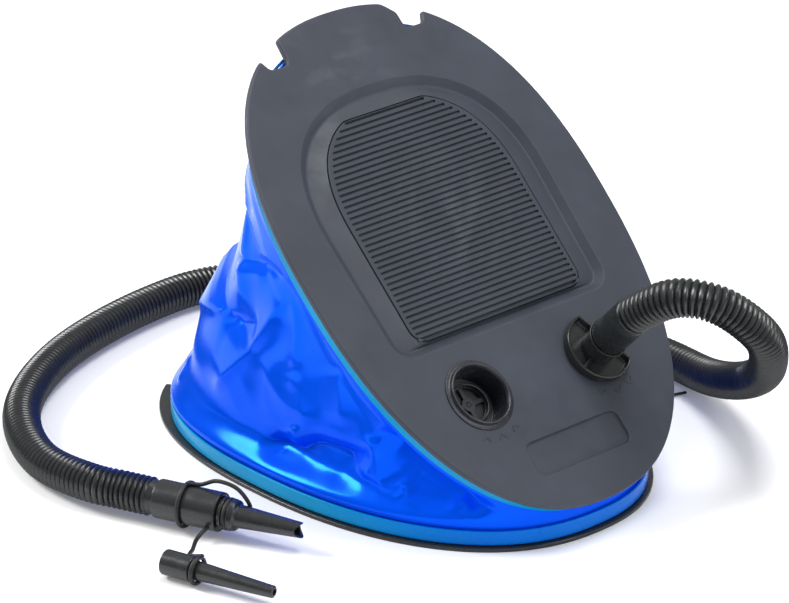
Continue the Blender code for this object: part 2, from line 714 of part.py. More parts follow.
def hose_connector(port):
    """A plug and a tail in one, standing in a shallow D-shaped cup that serves as a grip."""
    low, high = GAP, GAP + CUP_HEIGHT
    floor = low + CUP_FLOOR
    shoulder = low + 0.2 * MM
    neck = CUFF_START - GAP
    profile = [(CONNECTOR_TUBE, PLUG_END), (CONNECTOR_TUBE, shoulder), (COLLAR, shoulder),
               (COLLAR, neck), (CONNECTOR_TUBE, neck), (CONNECTOR_TUBE, TAIL_END),
               (CONNECTOR_BORE, TAIL_END), (CONNECTOR_BORE, PLUG_END)]
    connector = solid("hose_connector", turned(profile), "black_plastic", port)

    outer = d_outline(CUP_RADIUS, CUP_CHORD)
    inner = d_outline(CUP_RADIUS - CUP_WALL, CUP_CHORD - CUP_WALL)
    tray = stack([level(outer, low), level(outer, high), level(inner, high), level(inner, floor)])
    tray.transform(Matrix.Rotation(CUP_HEADING, 4, "Z"))
    cup = helper("connector_cup", tray, port)
    hole = disc((COLLAR + CONNECTOR_TUBE) / 2, low - MM, high + MM)
    cut(cup, helper("connector_cup_hole", hole, port))
    join(connector, cup)

    bury = 0.5 * MM
    rib = box((-CUP_RIB / 2, -CUP_RADIUS + CUP_WALL - bury, floor - bury),
              (CUP_RIB / 2, -COLLAR + bury, high - MM))
    rib.transform(Matrix.Rotation(CUP_HEADING, 4, "Z"))
    join(connector, helper("connector_rib", rib, port))
    return connector


def seal_ring(port):
    profile = []
    for step in range(6):
        angle = 2 * pi * step / 6
        profile.append((SEAL_CENTRE + SEAL_THICK * cos(angle), SEAL_Z - SEAL_THICK * sin(angle)))
    return solid("connector_o_ring", turned(profile), "black_rubber", port)


# Hose and the fittings on it.

def hose_knots():
    """Centreline: up out of the connector, down behind the pump and round its lifting end."""
    port = Vector((PORT_X, PORT_Y, 0))
    plain_end = (CUFF_START, TAIL_END + MM, CUFF_END)
    knots = [pedal_to_base(port + Vector((0, 0, z))) for z in plain_end]
    free = [(145, 46, 113), (161, 58, 111), (170, 79, 92), (152, 105, 61), (117, 129, 33),
            (76, 145, 15), (35, 152, 10.7), (-30, 146, 10.7), (-95, 127, 10.7), (-155, 90, 10.7),
            (-194, 37, 10.7), (-197, -10, 10.7), (-176, -88, 10.7), (-136, -143, 10.7),
            (-86, -169, 10.7)]
    knots += [Vector(point) * MM for point in free]
    heading = Vector((cos(NOZZLE_HEADING), sin(NOZZLE_HEADING), 0))
    return knots + [NOZZLE_START + heading * ahead for ahead in (-34 * MM, -17 * MM, HOSE_END)]


def hose():
    path = smooth_path(hose_knots(), HOSE_SPACING)
    outer = tube_rings(path, HOSE_RADIUS, HOSE_SIDES)
    inner = tube_rings(path, HOSE_BORE, HOSE_SIDES)
    return solid("hose", stack(outer + inner[::-1], wrap=True), "black_plastic")


def hose_end_adaptor(frame):
    """The frame's Z runs along the fittings; the hose's end covers the tail."""
    shoulder = HOSE_END + GAP
    profile = [(7.6 * MM, -15 * MM), (7.6 * MM, shoulder), (9.9 * MM, shoulder), (9.9 * MM, SLEEVE_END),
               (8.0 * MM, SLEEVE_END), (7.4 * MM, 18 * MM), (5.2 * MM, 18 * MM), (5.2 * MM, -15 * MM)]
    return solid("hose_end_adaptor", turned(profile, 24), "black_plastic", frame)


def nozzle(frame):
    """Push-in nozzle: plug, two collars and a cone whose mouth is scalloped."""
    start = 20 * MM
    profile = [(7.1 * MM, start), (7.1 * MM, start + 19 * MM), (8.2 * MM, start + 19 * MM),
               (8.2 * MM, start + 21 * MM), (6.4 * MM, start + 21 * MM), (6.4 * MM, start + 24 * MM),
               (8.2 * MM, start + 24 * MM), (7.6 * MM, start + 27 * MM), (5.9 * MM, start + 28 * MM),
               (3.9 * MM, start + 63 * MM), (2.9 * MM, start + 63 * MM), (4.6 * MM, start + 28 * MM),
               (5.4 * MM, start)]
    made = solid("nozzle", turned(profile, 24), "black_plastic", frame)
    scallop = disc(2.6 * MM, -8 * MM, 8 * MM, 20)
    scallop.transform(Matrix.Rotation(pi / 2, 4, "Y"))
    cut(made, helper("nozzle_mouth_cut", scallop, frame, (0, 0, start + 63.6 * MM)))
    return made


def spare_nozzle(frame):
    """Fine nozzle with a blind end, lying on its tether."""
    profile = [(6.4 * MM, 0), (6.4 * MM, 16 * MM), (4.7 * MM, 16 * MM), (4.7 * MM, 20 * MM),
               (3.1 * MM, 61 * MM), (1.6 * MM, 61.6 * MM), (1.6 * MM, 40 * MM), (2.8 * MM, 19 * MM),
               (5.0 * MM, 14 * MM), (5.0 * MM, 0)]
    return solid("spare_nozzle", turned(profile, 24), "black_plastic", frame)


def tether(adaptor_frame, spare_frame):
    """A soft strap with a ring round the adaptor and one round the spare nozzle's neck."""
    def ring(radius, z, name, frame):
        thick = 0.9 * MM
        profile = [(radius + thick * cos(2 * pi * k / 6), z - thick * sin(2 * pi * k / 6))
                   for k in range(6)]
        made = turned(profile, 20)
        made.transform(frame.matrix_world)
        return helper(name, made)

    bpy.context.view_layer.update()
    first = adaptor_frame.matrix_world @ Vector((-11.2 * MM, 3 * MM, TETHER_RING_Z))
    last = spare_frame.matrix_world @ Vector((-1 * MM, 6.4 * MM, 18.3 * MM))
    free = [(7.2, -143.4, 24.4), (15, -138.5, 27), (24.5, -133, 24.5), (29, -127, 16),
            (30, -128, 6), (28, -138, 1.6), (25, -150, 1.6), (26, -160, 3), (34, -172, 8)]
    knots = [first] + [Vector(point) * MM for point in free] + [last]
    strap = stack(tube_rings(smooth_path(knots, 6 * MM), 1.2 * MM, 6))
    made = solid("tether", strap, "black_rubber")
    join(made, ring(11.1 * MM, TETHER_RING_Z, "tether_adaptor_ring", adaptor_frame))
    join(made, ring(6.0 * MM, 18.2 * MM, "tether_neck_ring", spare_frame))
    return made


def storage_cord():
    free = [(44, 107, 1.4), (51, 119, 1.4), (57, 132, 1.4), (61, 143, 1.4)]
    knots = [Vector(point) * MM for point in free]
    return solid("storage_cord", stack(tube_rings(smooth_path(knots, 5 * MM), 0.8 * MM, 6)), "black_rubber")


def fitting_frame(name, start, heading):
    """An empty whose Z lies level along the heading."""
    rotation = (Matrix.Rotation(heading, 3, "Z") @ Matrix.Rotation(pi / 2, 3, "Y")).to_euler()
    return empty(name, start, rotation)


def build():
    clear_scene()
    base_plate()
    band("base_band", LIP + GAP, LIP + BAND_HEIGHT)
    bellows()
    return_spring()

    pin_axis = empty("pedal_axis", (HINGE_X, 0, HINGE_Z), (0, OPEN_ANGLE, 0))
    pedal = empty("pedal_frame", (-HINGE_X, 0, PEDAL_RISE), parent=pin_axis)
    pedal_plate(pedal)
    band("pedal_band", -PEDAL_SLAB - BAND_HEIGHT + MM, -PEDAL_SLAB - GAP, pedal)
    foot_pad(pedal)

    foot_z = LIP + BRACKET_PAD + GAP
    hinge_bracket("base_hinge_bracket", BASE_LUG_Y, foot_z, HINGE_Z)
    pedal_foot_z = -PEDAL_SLAB - BRACKET_PAD - GAP
    hinge_bracket("pedal_hinge_bracket", PEDAL_LUG_Y, pedal_foot_z, -PEDAL_RISE, pedal)
    hinge_pin()
    for side, word in ((-1, "left"), (1, "right")):
        screw(f"base_screw_{word}", foot_z + BRACKET_FOOT + GAP, -1, side)
        screw(f"pedal_screw_{word}", pedal_foot_z - BRACKET_FOOT - GAP, 1, side, pedal)

    deflate = empty("deflate_port_axis", (PORT_X, -PORT_Y, 0), parent=pedal)
    inflate = empty("inflate_port_axis", (PORT_X, PORT_Y, 0), parent=pedal)
    deflate_socket(deflate)
    inflate_socket(inflate)
    intake_valve(deflate)
    outlet_valve(inflate)
    hose_connector(inflate)
    seal_ring(inflate)

    hose()
    fittings = fitting_frame("fittings_axis", NOZZLE_START, NOZZLE_HEADING)
    spare = fitting_frame("spare_axis", SPARE_START, SPARE_HEADING)
    hose_end_adaptor(fittings)
    nozzle(fittings)
    spare_nozzle(spare)
    tether(fittings, spare)
    storage_cord()


build()
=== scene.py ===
"""Looks of the bellows foot pump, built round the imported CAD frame.

Shapes are made in millimetres, each in its own part's frame. The matrix of that frame, which
holds the scale to metres, then puts the finished mesh in its place.
"""

import json
from math import acos, atan2, cos, hypot, pi, radians, sin, tan

import bmesh
import bpy
import numpy
from mathutils import Matrix, Vector, noise


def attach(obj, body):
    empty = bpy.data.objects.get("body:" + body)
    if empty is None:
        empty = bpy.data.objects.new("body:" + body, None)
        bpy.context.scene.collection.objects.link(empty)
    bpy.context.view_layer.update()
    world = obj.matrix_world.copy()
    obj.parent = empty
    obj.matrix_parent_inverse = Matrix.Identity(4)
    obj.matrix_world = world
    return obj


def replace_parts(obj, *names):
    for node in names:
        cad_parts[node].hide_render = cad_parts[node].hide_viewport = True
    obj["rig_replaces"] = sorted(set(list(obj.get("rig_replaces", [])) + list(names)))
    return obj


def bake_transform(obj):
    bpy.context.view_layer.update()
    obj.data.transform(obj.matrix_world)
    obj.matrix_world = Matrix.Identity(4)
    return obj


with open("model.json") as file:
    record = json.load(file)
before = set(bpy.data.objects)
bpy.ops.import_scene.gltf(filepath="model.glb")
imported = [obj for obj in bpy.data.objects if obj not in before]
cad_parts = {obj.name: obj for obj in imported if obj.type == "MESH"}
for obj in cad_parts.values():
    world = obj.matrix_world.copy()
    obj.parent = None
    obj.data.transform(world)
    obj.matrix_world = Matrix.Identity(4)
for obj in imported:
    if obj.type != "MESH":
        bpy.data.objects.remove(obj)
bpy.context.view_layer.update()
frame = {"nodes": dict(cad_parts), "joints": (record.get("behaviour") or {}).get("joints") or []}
joints = {joint["name"]: joint for joint in frame["joints"]}

MM = 0.001
SUPPORT = 0.4
FILLET_STEPS = 4
SHARP_ANGLE = radians(40)
OVAL_POINTS = 720

# Plates: one oval outline for both, a little wider towards the lifting end.
PLATE_HALF_LENGTH = 142.0
PLATE_HALF_WIDTH = 100.0
PLATE_EXPONENT = 2.32
PLATE_WIDENING = 0.052
PEDAL_RISE = 14.0
LIP = 2.2
PEDAL_SLAB = 3.0
EDGE_SPACING = 1.3

# The rim that the bellows is stretched over.
RIM_BACK = 135.0
RIM_HEIGHT = 7.0
RIM_INSET = 5.5
RIM_WALL = 2.5
BAND_HEIGHT = 8.0
BAND_INSET = 2.5
BAND_WALL = 1.5
SKIN_INSET = 4.3
SKIN_WALL = 0.9
BOSS_WALL = 2.0
HINGE_PAD = ((108, -25), (130, 25))
HINGE_PAD_RISE = 2.8

# Foot recess, pad, label field.
RECESS_DEPTH = 3.5
RECESS_SLOPE = 4.6
RECESS_WALL = 2.5
ARCH_CENTRE_X = -30.0
RECESS_TOP_X = -98.6
RECESS_BOTTOM_X = 42.0
RECESS_HALF_WIDTH = 73.5
RECESS_EXPONENT = 2.4
PAD_TOP_X = -88.5
PAD_START_X = -84.5
PAD_BOTTOM_X = 35.6
PAD_HALF_WIDTH = 57.0
PAD_EXPONENT = 2.4
FLOOR_RISE = -1.3
PAD_TOP = -0.8
PAD_FLOOR = -3.2
GROOVE_PITCH = 3.16
GROOVE_HALF_WIDTH = 0.68
GROOVE_DEPTH = 1.3
GROOVE_MARGIN = 2.7
LABEL = ((102, -31), (120.5, 31))
LABEL_DEPTH = 1.5
MOAT = 0.6
PAD_CENTRE = Vector((-24, 0))

# Ports and what stands in them.
PORT_X = 70.7
PORT_Y = 39.5
SOCKET_OUTER = 15.4
SOCKET_BORE = 13.2
DEFLATE_BORE = 14.7
SOCKET_DEPTH = 14.0
NECK_OUTER = 10.4
NECK_BORE = 8.9
LEDGE_BORE = 10.8
CUP_RADIUS = 18.4
CUP_CHORD = 6.9
CUP_HEADING = radians(27)
ARROW_RADIUS = 23.6

# Hose and fittings.
HOSE_RADIUS = 9.9
HOSE_BORE = 8.0
HOSE_END = 3.1
SLEEVE_END = 38.4
CUFF_START = 13.8
CUFF_END = 38.0
CORRUGATION_PITCH = 3.0
CORRUGATION_DEPTH = 1.75
TETHER_RING_Z = 18.9
NECK_RING_Z = 42.5
SPARE_RING_Z = 18.2
STRAP_RADIUS = 1.05
NOZZLE_START = Vector((-14.6, -155.5, 12.4))
SPARE_START = Vector((35.1, -188.5, 7.3))
SPARE_HEADING = radians(17.7)

SPRING_X = -12.5
SPRING_RADIUS = 24.0
SPRING_WIRE = 1.4
SPRING_TURNS = 7
SPRING_CLOSED = 0.8
SPRING_BOSS = 20.0

# Frames of the moving parts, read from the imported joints.
HINGE = Vector(joints["pedal_hinge"]["pos_m"])
PORT_AXIS = Vector(joints["connector_turn"]["axis"])
OPEN = atan2(PORT_AXIS.x, PORT_AXIS.z)
FITTING_AXIS = Vector(joints["nozzle_pull"]["axis"])
FITTING_HEADING = atan2(FITTING_AXIS.y, FITTING_AXIS.x)

BASE = Matrix.Scale(MM, 4)
PEDAL = (Matrix.Translation(HINGE) @ Matrix.Rotation(OPEN, 4, "Y")
         @ Matrix.Translation((-HINGE.x, 0, PEDAL_RISE * MM)) @ BASE)
DEFLATE = PEDAL @ Matrix.Translation((PORT_X, -PORT_Y, 0))
INFLATE = PEDAL @ Matrix.Translation((PORT_X, PORT_Y, 0))
PEDAL_IN_BASE = BASE.inverted() @ PEDAL


def fitting_frame(start, heading):
    """Z runs level along the heading."""
    turn = Matrix.Rotation(heading, 4, "Z") @ Matrix.Rotation(pi / 2, 4, "Y")
    return BASE @ Matrix.Translation(start) @ turn


FITTINGS = fitting_frame(NOZZLE_START, FITTING_HEADING)
SPARE = fitting_frame(SPARE_START, SPARE_HEADING)


def held(value, low=0.0, high=1.0):
    return max(low, min(high, value))


def smooth_step(values, start, end):
    """For one number or an array: 0 up to the start, 1 from the end, and smooth between them."""
    t = numpy.clip((values - start) / (end - start), 0, 1)
    return t * t * (3 - 2 * t)


# Outlines: closed, counter-clockwise lists of (x, y).

def signed_power(value, power):
    return abs(value) ** power * (1 if value >= 0 else -1)


def oval(back):
    """The plates' outline, reaching back so far at the lifting end."""
    points = []
    for angle in round_angles(OVAL_POINTS):
        c, s = cos(angle), sin(angle)
        x = (PLATE_HALF_LENGTH if c > 0 else back) * signed_power(c, 2 / PLATE_EXPONENT)
        y = PLATE_HALF_WIDTH * signed_power(s, 2 / PLATE_EXPONENT) * (1 - PLATE_WIDENING * c)
        points.append(Vector((x, y)))
    return points


def even(loop, spacing):
    """The outline redrawn with points about the spacing apart."""
    sides = [(b - a).length for a, b in zip(loop, loop[1:] + loop[:1])]
    total = sum(sides)
    count = round(total / spacing)
    points = []
    side, passed = 0, 0.0
    for step in range(count):
        place = total * step / count
        while passed + sides[side] < place:
            passed += sides[side]
            side += 1
        share = (place - passed) / sides[side]
        points.append(loop[side].lerp(loop[(side + 1) % len(loop)], share))
    return points


def inset(loop, distance):
    """Moves every side of an outline inwards by the distance, or outwards if it is negative."""
    moved = []
    for index, point in enumerate(loop):
        before = (point - loop[index - 1]).normalized()
        after = (loop[(index + 1) % len(loop)] - point).normalized()
        inward = Vector((-before.y - after.y, before.x + after.x)).normalized()
        half_turn = acos(held(before.dot(after), -1.0)) / 2
        moved.append(point + inward * distance / cos(half_turn))
    return moved


def soften(loop, passes):
    for _ in range(passes):
        loop = [(loop[i - 1] + loop[i] * 2 + loop[(i + 1) % len(loop)]) / 4 for i in range(len(loop))]
    return loop


def rounded(corners, radius, steps=8):
    """A polygon with its corners replaced by arcs."""
    points = []
    for index, corner in enumerate(corners):
        corner = Vector(corner)
        to_before = (Vector(corners[index - 1]) - corner).normalized()
        to_after = (Vector(corners[(index + 1) % len(corners)]) - corner).normalized()
        half = acos(held(to_before.dot(to_after), -1.0)) / 2
        centre = corner + (to_before + to_after).normalized() * radius / sin(half)
        start = corner + to_before * radius / tan(half) - centre
        end = corner + to_after * radius / tan(half) - centre
        sweep = (atan2(end.y, end.x) - atan2(start.y, start.x) + pi) % (2 * pi) - pi
        for step in range(steps + 1):
            points.append(centre + Matrix.Rotation(sweep * step / steps, 2) @ start)
    return points


def contains(loop, point):
    inside = False
    for a, b in zip(loop, loop[1:] + loop[:1]):
        if (a.y > point.y) != (b.y > point.y):
            inside ^= point.x < a.x + (b.x - a.x) * (point.y - a.y) / (b.y - a.y)
    return inside


def rim_outline(distance, spacing=2.0):
    """The line of the bellows' edge: the plates' outline, but drawn in at the lifting end."""
    return inset(even(oval(RIM_BACK), spacing), distance)


def notch_outline(side):
    """A cord notch: a slot with round corners, splayed on its outer side, and on the far side on both."""
    floor_x, outside = -121.5, -150.0
    tongue = [(outside, 21), (-131, 39), (floor_x, 39)] if side > 0 else [(outside, 37), (floor_x, 39)]
    corners = [(floor_x, 51), (outside, 64), *tongue]
    loop = even(rounded(corners, 3.0), 0.5)
    if side < 0:
        loop = [Vector((point.x, -point.y)) for point in reversed(loop)]
    return loop


def notched_outline():
    """The plates' outline with both cord notches, its tips rounded."""
    loop = even(oval(PLATE_HALF_LENGTH), 0.5)
    for side in (1, -1):
        notch = notch_outline(side)
        start = next(i for i, point in enumerate(loop) if contains(notch, point))
        kept = [point for point in loop[start:] + loop[:start] if not contains(notch, point)]
        within = [contains(loop, point) for point in notch]
        first = next(i for i in range(len(notch)) if within[i] and not within[i - 1])
        floor = [point for point in notch[first:] + notch[:first] if contains(loop, point)]
        loop = kept + floor[::-1]
    return even(soften(loop, 8), EDGE_SPACING)


def arch(top_x, start_x, bottom_x, half_width, taper, exponent, corner):
    """Oval towards -X, but cut straight at start_x; square, with round corners, at its +X end."""
    reach = ARCH_CENTRE_X - top_x
    points, steps = [], 48
    for step in range(steps + 1):
        angle = pi / 2 + pi * step / steps
        x = ARCH_CENTRE_X + reach * signed_power(cos(angle), 2 / exponent)
        points.append(Vector((max(x, start_x), half_width * signed_power(sin(angle), 2 / exponent))))
    low = half_width - taper
    corners = rounded([(bottom_x, -low), (bottom_x, low), (0, half_width), (0, -half_width)], corner)
    return even(points + corners[:len(corners) // 2], EDGE_SPACING)


def pad_outline():
    return arch(PAD_TOP_X, PAD_START_X, PAD_BOTTOM_X, PAD_HALF_WIDTH, 0.6, PAD_EXPONENT, 8)


def towards(loop, outline, centre):
    """For each point of an outline, the loop's point in the same direction from the centre."""
    known, xs, ys = zip(*sorted((atan2(point.y - centre.y, point.x - centre.x), *point) for point in loop))
    wanted = [atan2(point.y - centre.y, point.x - centre.x) for point in outline]
    across, up = (numpy.interp(wanted, known, values, period=2 * pi) for values in (xs, ys))
    return [Vector((float(x), float(y))) for x, y in zip(across, up)]


def round_angles(count):
    return [2 * pi * index / count for index in range(count)]


def circle(radius, count, x=0.0, y=0.0):
    return [Vector((x + radius * cos(a), y + radius * sin(a))) for a in round_angles(count)]


def soft(corners, reach):
    """A closed profile with rounded corners, and a point beside each to keep flats flat."""
    points = []
    for index, corner in enumerate(corners):
        corner = Vector(corner)
        before = Vector(corners[index - 1]) - corner
        after = Vector(corners[(index + 1) % len(corners)]) - corner
        near = min(reach, 0.4 * before.length, 0.4 * after.length)
        if before.length > 2.5 * (near + SUPPORT):
            points.append(corner + before.normalized() * (near + SUPPORT))
        start = corner + before.normalized() * near
        end = corner + after.normalized() * near
        for step in range(FILLET_STEPS + 1):
            t = step / FILLET_STEPS
            points.append(start * (1 - t) ** 2 + corner * 2 * t * (1 - t) + end * t ** 2)
        if after.length > 2.5 * (near + SUPPORT):
            points.append(corner + after.normalized() * (near + SUPPORT))
    return points


def edge(radius):
    """A rounded edge as (inset, drop) pairs, from a little way in on the flat to the side."""
    angles = [pi / 2 * step / FILLET_STEPS for step in range(FILLET_STEPS + 1)]
    return [(radius + SUPPORT, 0.0)] + [(radius * (1 - sin(a)), radius * (1 - cos(a))) for a in angles]


# Mesh building.

def ring(made, points, z):
    return [made.verts.new((point.x, point.y, z)) for point in points]


def bridge(made, rings, wrap=False):
    pairs = list(zip(rings, rings[1:]))
    if wrap:
        pairs.append((rings[-1], rings[0]))
    for low, high in pairs:
        for index in range(len(low)):
            made.faces.new((low[index - 1], low[index], high[index], high[index - 1]))


def loft(made, loop, steps, wrap=False):
    """Joins copies of an outline, each at an (inset, height) step. Returns the rings."""
    rings = [ring(made, inset(loop, distance), z) for distance, z in steps]
    bridge(made, rings, wrap)
    return rings


def fill(made, *loops):
    """A flat face with holes: the first loop is its edge."""
    edges = []
    for loop in loops:
        for index in range(len(loop)):
            pair = (loop[index - 1], loop[index])
            edges.append(made.edges.get(pair) or made.edges.new(pair))
    bmesh.ops.triangle_fill(made, use_beauty=True, edges=edges)


def turned(made, profile, sides=64, matrix=Matrix()):
    """A closed (radius, height) profile turned about Z."""
    rings = []
    for radius, z in profile:
        points = [matrix @ Vector((*point, z)) for point in circle(radius, sides)]
        rings.append([made.verts.new(point) for point in points])
    bridge(made, rings, wrap=True)


def wall(made, outer, inner, bottom, top):
    loops = ((outer, bottom), (outer, top), (inner, top), (inner, bottom))
    bridge(made, [ring(made, loop, z) for loop, z in loops], wrap=True)


def plate(made, loop, bottom, top, lower, upper):
    """The side of a plate with its lower and upper edges rounded. Returns its rings, from the top."""
    steps = [(distance, top - drop) for distance, drop in edge(upper)]
    steps += [(distance, bottom + drop) for distance, drop in reversed(edge(lower))]
    return loft(made, loop, steps)


def slab(made, loop, bottom, top, radius=0.3):
    """A plate with a rounded upper edge."""
    steps = [(0, bottom)] + [(distance, top - drop) for distance, drop in reversed(edge(radius))]
    rings = loft(made, loop, steps)
    fill(made, rings[0])
    fill(made, rings[-1])


def rectangle(low, high, radius=1.0):
    corners = [(low[0], low[1]), (high[0], low[1]), (high[0], high[1]), (low[0], high[1])]
    return rounded(corners, radius, 4)


def smooth_path(knots, spacing):
    """A centripetal Catmull-Rom curve through the knots, in steps of about the spacing."""
    points = [knots[0] * 2 - knots[1], *knots, knots[-1] * 2 - knots[-2]]
    path = [knots[0]]
    for a, b, c, d in zip(points, points[1:], points[2:], points[3:]):
        before, across, after = [(q - p).length ** 0.5 for p, q in ((a, b), (b, c), (c, d))]
        leave = ((b - a) / before - (c - a) / (before + across) + (c - b) / across) * across
        arrive = ((c - b) / across - (d - b) / (across + after) + (d - c) / after) * across
        steps = max(1, round((c - b).length / spacing))
        for step in range(1, steps + 1):
            t = step / steps
            path.append(b * (2 * t ** 3 - 3 * t ** 2 + 1) + leave * (t ** 3 - 2 * t ** 2 + t)
                        + c * (3 * t ** 2 - 2 * t ** 3) + arrive * (t ** 3 - t ** 2))
    return path


class Path:
    """A smooth centreline that gives a point and an untwisted frame at any distance along it."""

    def __init__(self, knots, spacing=1.0):
        self.points = smooth_path(knots, spacing)
        self.places = [0.0]
        for a, b in zip(self.points, self.points[1:]):
            self.places.append(self.places[-1] + (b - a).length)
        self.length = self.places[-1]
        last = len(self.points) - 1
        self.frames = []
        side = None
        for index in range(len(self.points)):
            tangent = (self.points[min(index + 1, last)] - self.points[max(index - 1, 0)]).normalized()
            side = side or tangent.orthogonal().normalized()
            side = (side - tangent * side.dot(tangent)).normalized()
            self.frames.append((side.copy(), tangent.cross(side)))

    def at(self, place):
        index = int(numpy.searchsorted(self.places, place, side="right")) - 1
        index = max(0, min(index, len(self.points) - 2))
        span = self.places[index + 1] - self.places[index]
        share = held((place - self.places[index]) / span)
        point = self.points[index].lerp(self.points[index + 1], share)
        side, up = (a.lerp(b, share) for a, b in zip(self.frames[index], self.frames[index + 1]))
        return point, side, up

    def rings(self, made, steps, sides):
        """A ring of vertices about the line at each (place, radius) step."""
        rings = []
        for place, radius in steps:
            point, side, up = self.at(place)
            rings.append([made.verts.new(point + (side * cos(a) + up * sin(a)) * radius)
                          for a in round_angles(sides)])
        return rings


def added(name, data):
    """A new object in the scene."""
    item = bpy.data.objects.new(name, data)
    bpy.context.scene.collection.objects.link(item)
    return item


def rod(made, path, steps, sides):
    """A solid round rod along a path, closed at both ends."""
    rings = path.rings(made, steps, sides)
    bridge(made, rings)
    made.faces.new(rings[0])
    made.faces.new(rings[-1])


def piece(name, made, place, material, body, replaces):
    """Turns a mesh in local millimetres into a finished object on a CAD body."""
    bmesh.ops.recalc_face_normals(made, faces=made.faces)
    mesh = bpy.data.meshes.new(name)
    made.to_mesh(mesh)
    made.free()
    local = numpy.empty(len(mesh.vertices) * 3, numpy.float32)
    mesh.vertices.foreach_get("co", local)
    mesh.attributes.new("local", "FLOAT_VECTOR", "POINT").data.foreach_set("vector", local)
    mesh.transform(place)
    mesh.shade_smooth()
    mesh.set_sharp_from_angle(angle=SHARP_ANGLE)
    mesh.materials.append(material)
    item = added(name, mesh)
    if body:
        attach(item, body)
    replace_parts(item, *replaces)
    return item


def blend_by(item):
    """Bakes the object's matrix into its mesh."""
    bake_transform(item)


# Materials.

def feed(tree, node, inputs):
    """Sets a node's inputs, or links them where the value is a socket."""
    for name, value in inputs.items():
        if isinstance(value, bpy.types.NodeSocket):
            tree.links.new(value, node.inputs[name])
        else:
            node.inputs[name].default_value = value


def wire(tree, kind, inputs, **settings):
    """Adds a shader node with its options and inputs."""
    made = tree.nodes.new("ShaderNode" + kind)
    for name, value in settings.items():
        setattr(made, name, value)
    feed(tree, made, inputs)
    return made


def times(tree, a, b):
    return wire(tree, "Math", {0: a, 1: b}, operation="MULTIPLY").outputs[0]


def ranged(tree, value, low, high, start, end):
    """Maps start..end to low..high, held at both ends."""
    inputs = {"Value": value, "From Min": start, "From Max": end, "To Min": low, "To Max": high}
    return wire(tree, "MapRange", inputs).outputs[0]


def scaled(tree, place, factors):
    return wire(tree, "VectorMath", {0: place, 1: factors}, operation="MULTIPLY").outputs[0]


def clouds(tree, place, size, detail=2.0, stretch=(1, 1, 1), roughness=0.5):
    """Noise whose features are about size millimetres across."""
    inputs = {"Vector": scaled(tree, place, stretch), "Scale": 1 / size, "Detail": detail,
              "Roughness": roughness}
    return wire(tree, "TexNoise", inputs).outputs["Fac"]


def shade(colour, factor):
    return tuple(min(1.0, part * factor) for part in colour)


def mixed(tree, amount, low, high):
    """A colour that goes from low, a plain colour or a socket, to the plain colour high."""
    first = low if isinstance(low, bpy.types.NodeSocket) else (*low, 1.0)
    made = wire(tree, "Mix", {0: amount, 6: first, 7: (*high, 1.0)}, data_type="RGBA")
    return made.outputs[2]


def along_x(tree, place, start, end):
    """0 at x = start, rising to 1 at x = end."""
    x = wire(tree, "SeparateXYZ", {0: place}).outputs["X"]
    return ranged(tree, x, 0.0, 1.0, start, end)


def painted_shade_band(tree, place, colours):
    """The upper band is darker towards the lifting end: painted shade."""
    return mixed(tree, along_x(tree, place, 0.0, -95.0), colours, (0.0, 0.06, 0.22))


def bluish_band(tree, place, colours):
    """The lower band is bluer towards the hinge."""
    return mixed(tree, along_x(tree, place, 40.0, 120.0), colours, (0.0, 0.14, 0.68))


def near_spot(tree, place, centre, reach, strength):
    """The strength at a point, falling to 0 at its reach."""
    away = wire(tree, "VectorMath", {0: place, 1: centre}, operation="DISTANCE").outputs["Value"]
    return ranged(tree, away, strength, 0.0, 0.0, reach)


def scuffs_and_painted_highlight(tree, place, colours):
    """Pale smears on the plate between its lifting end and the foot recess: partly scuffs, partly a
    painted highlight.
    """
    smear = ranged(tree, clouds(tree, place, 16.0, 3.0, (1.0, 0.45, 1.0), 0.6), 0, 1, 0.5, 0.68)
    spot = near_spot(tree, place, (-114.0, -14.0, 0.0), 42.0, 0.55)
    return mixed(tree, times(tree, smear, spot), colours, (0.11, 0.115, 0.13))


def worn_ribs(tree, place, colours):
    """Pale streaks, slanting across the middle of the pad, where the foot has rubbed."""
    slanted = wire(tree, "VectorRotate", {"Vector": place, "Angle": radians(35)},
                   rotation_type="Z_AXIS").outputs[0]
    streak = ranged(tree, clouds(tree, slanted, 9.0, 4.0, (0.22, 1.0, 1.0), 0.65), 0, 1, 0.45, 0.7)
    spot = near_spot(tree, place, (-20.0, 6.0, 0.0), 50.0, 0.5)
    return mixed(tree, times(tree, streak, spot), colours, (0.10, 0.108, 0.125))


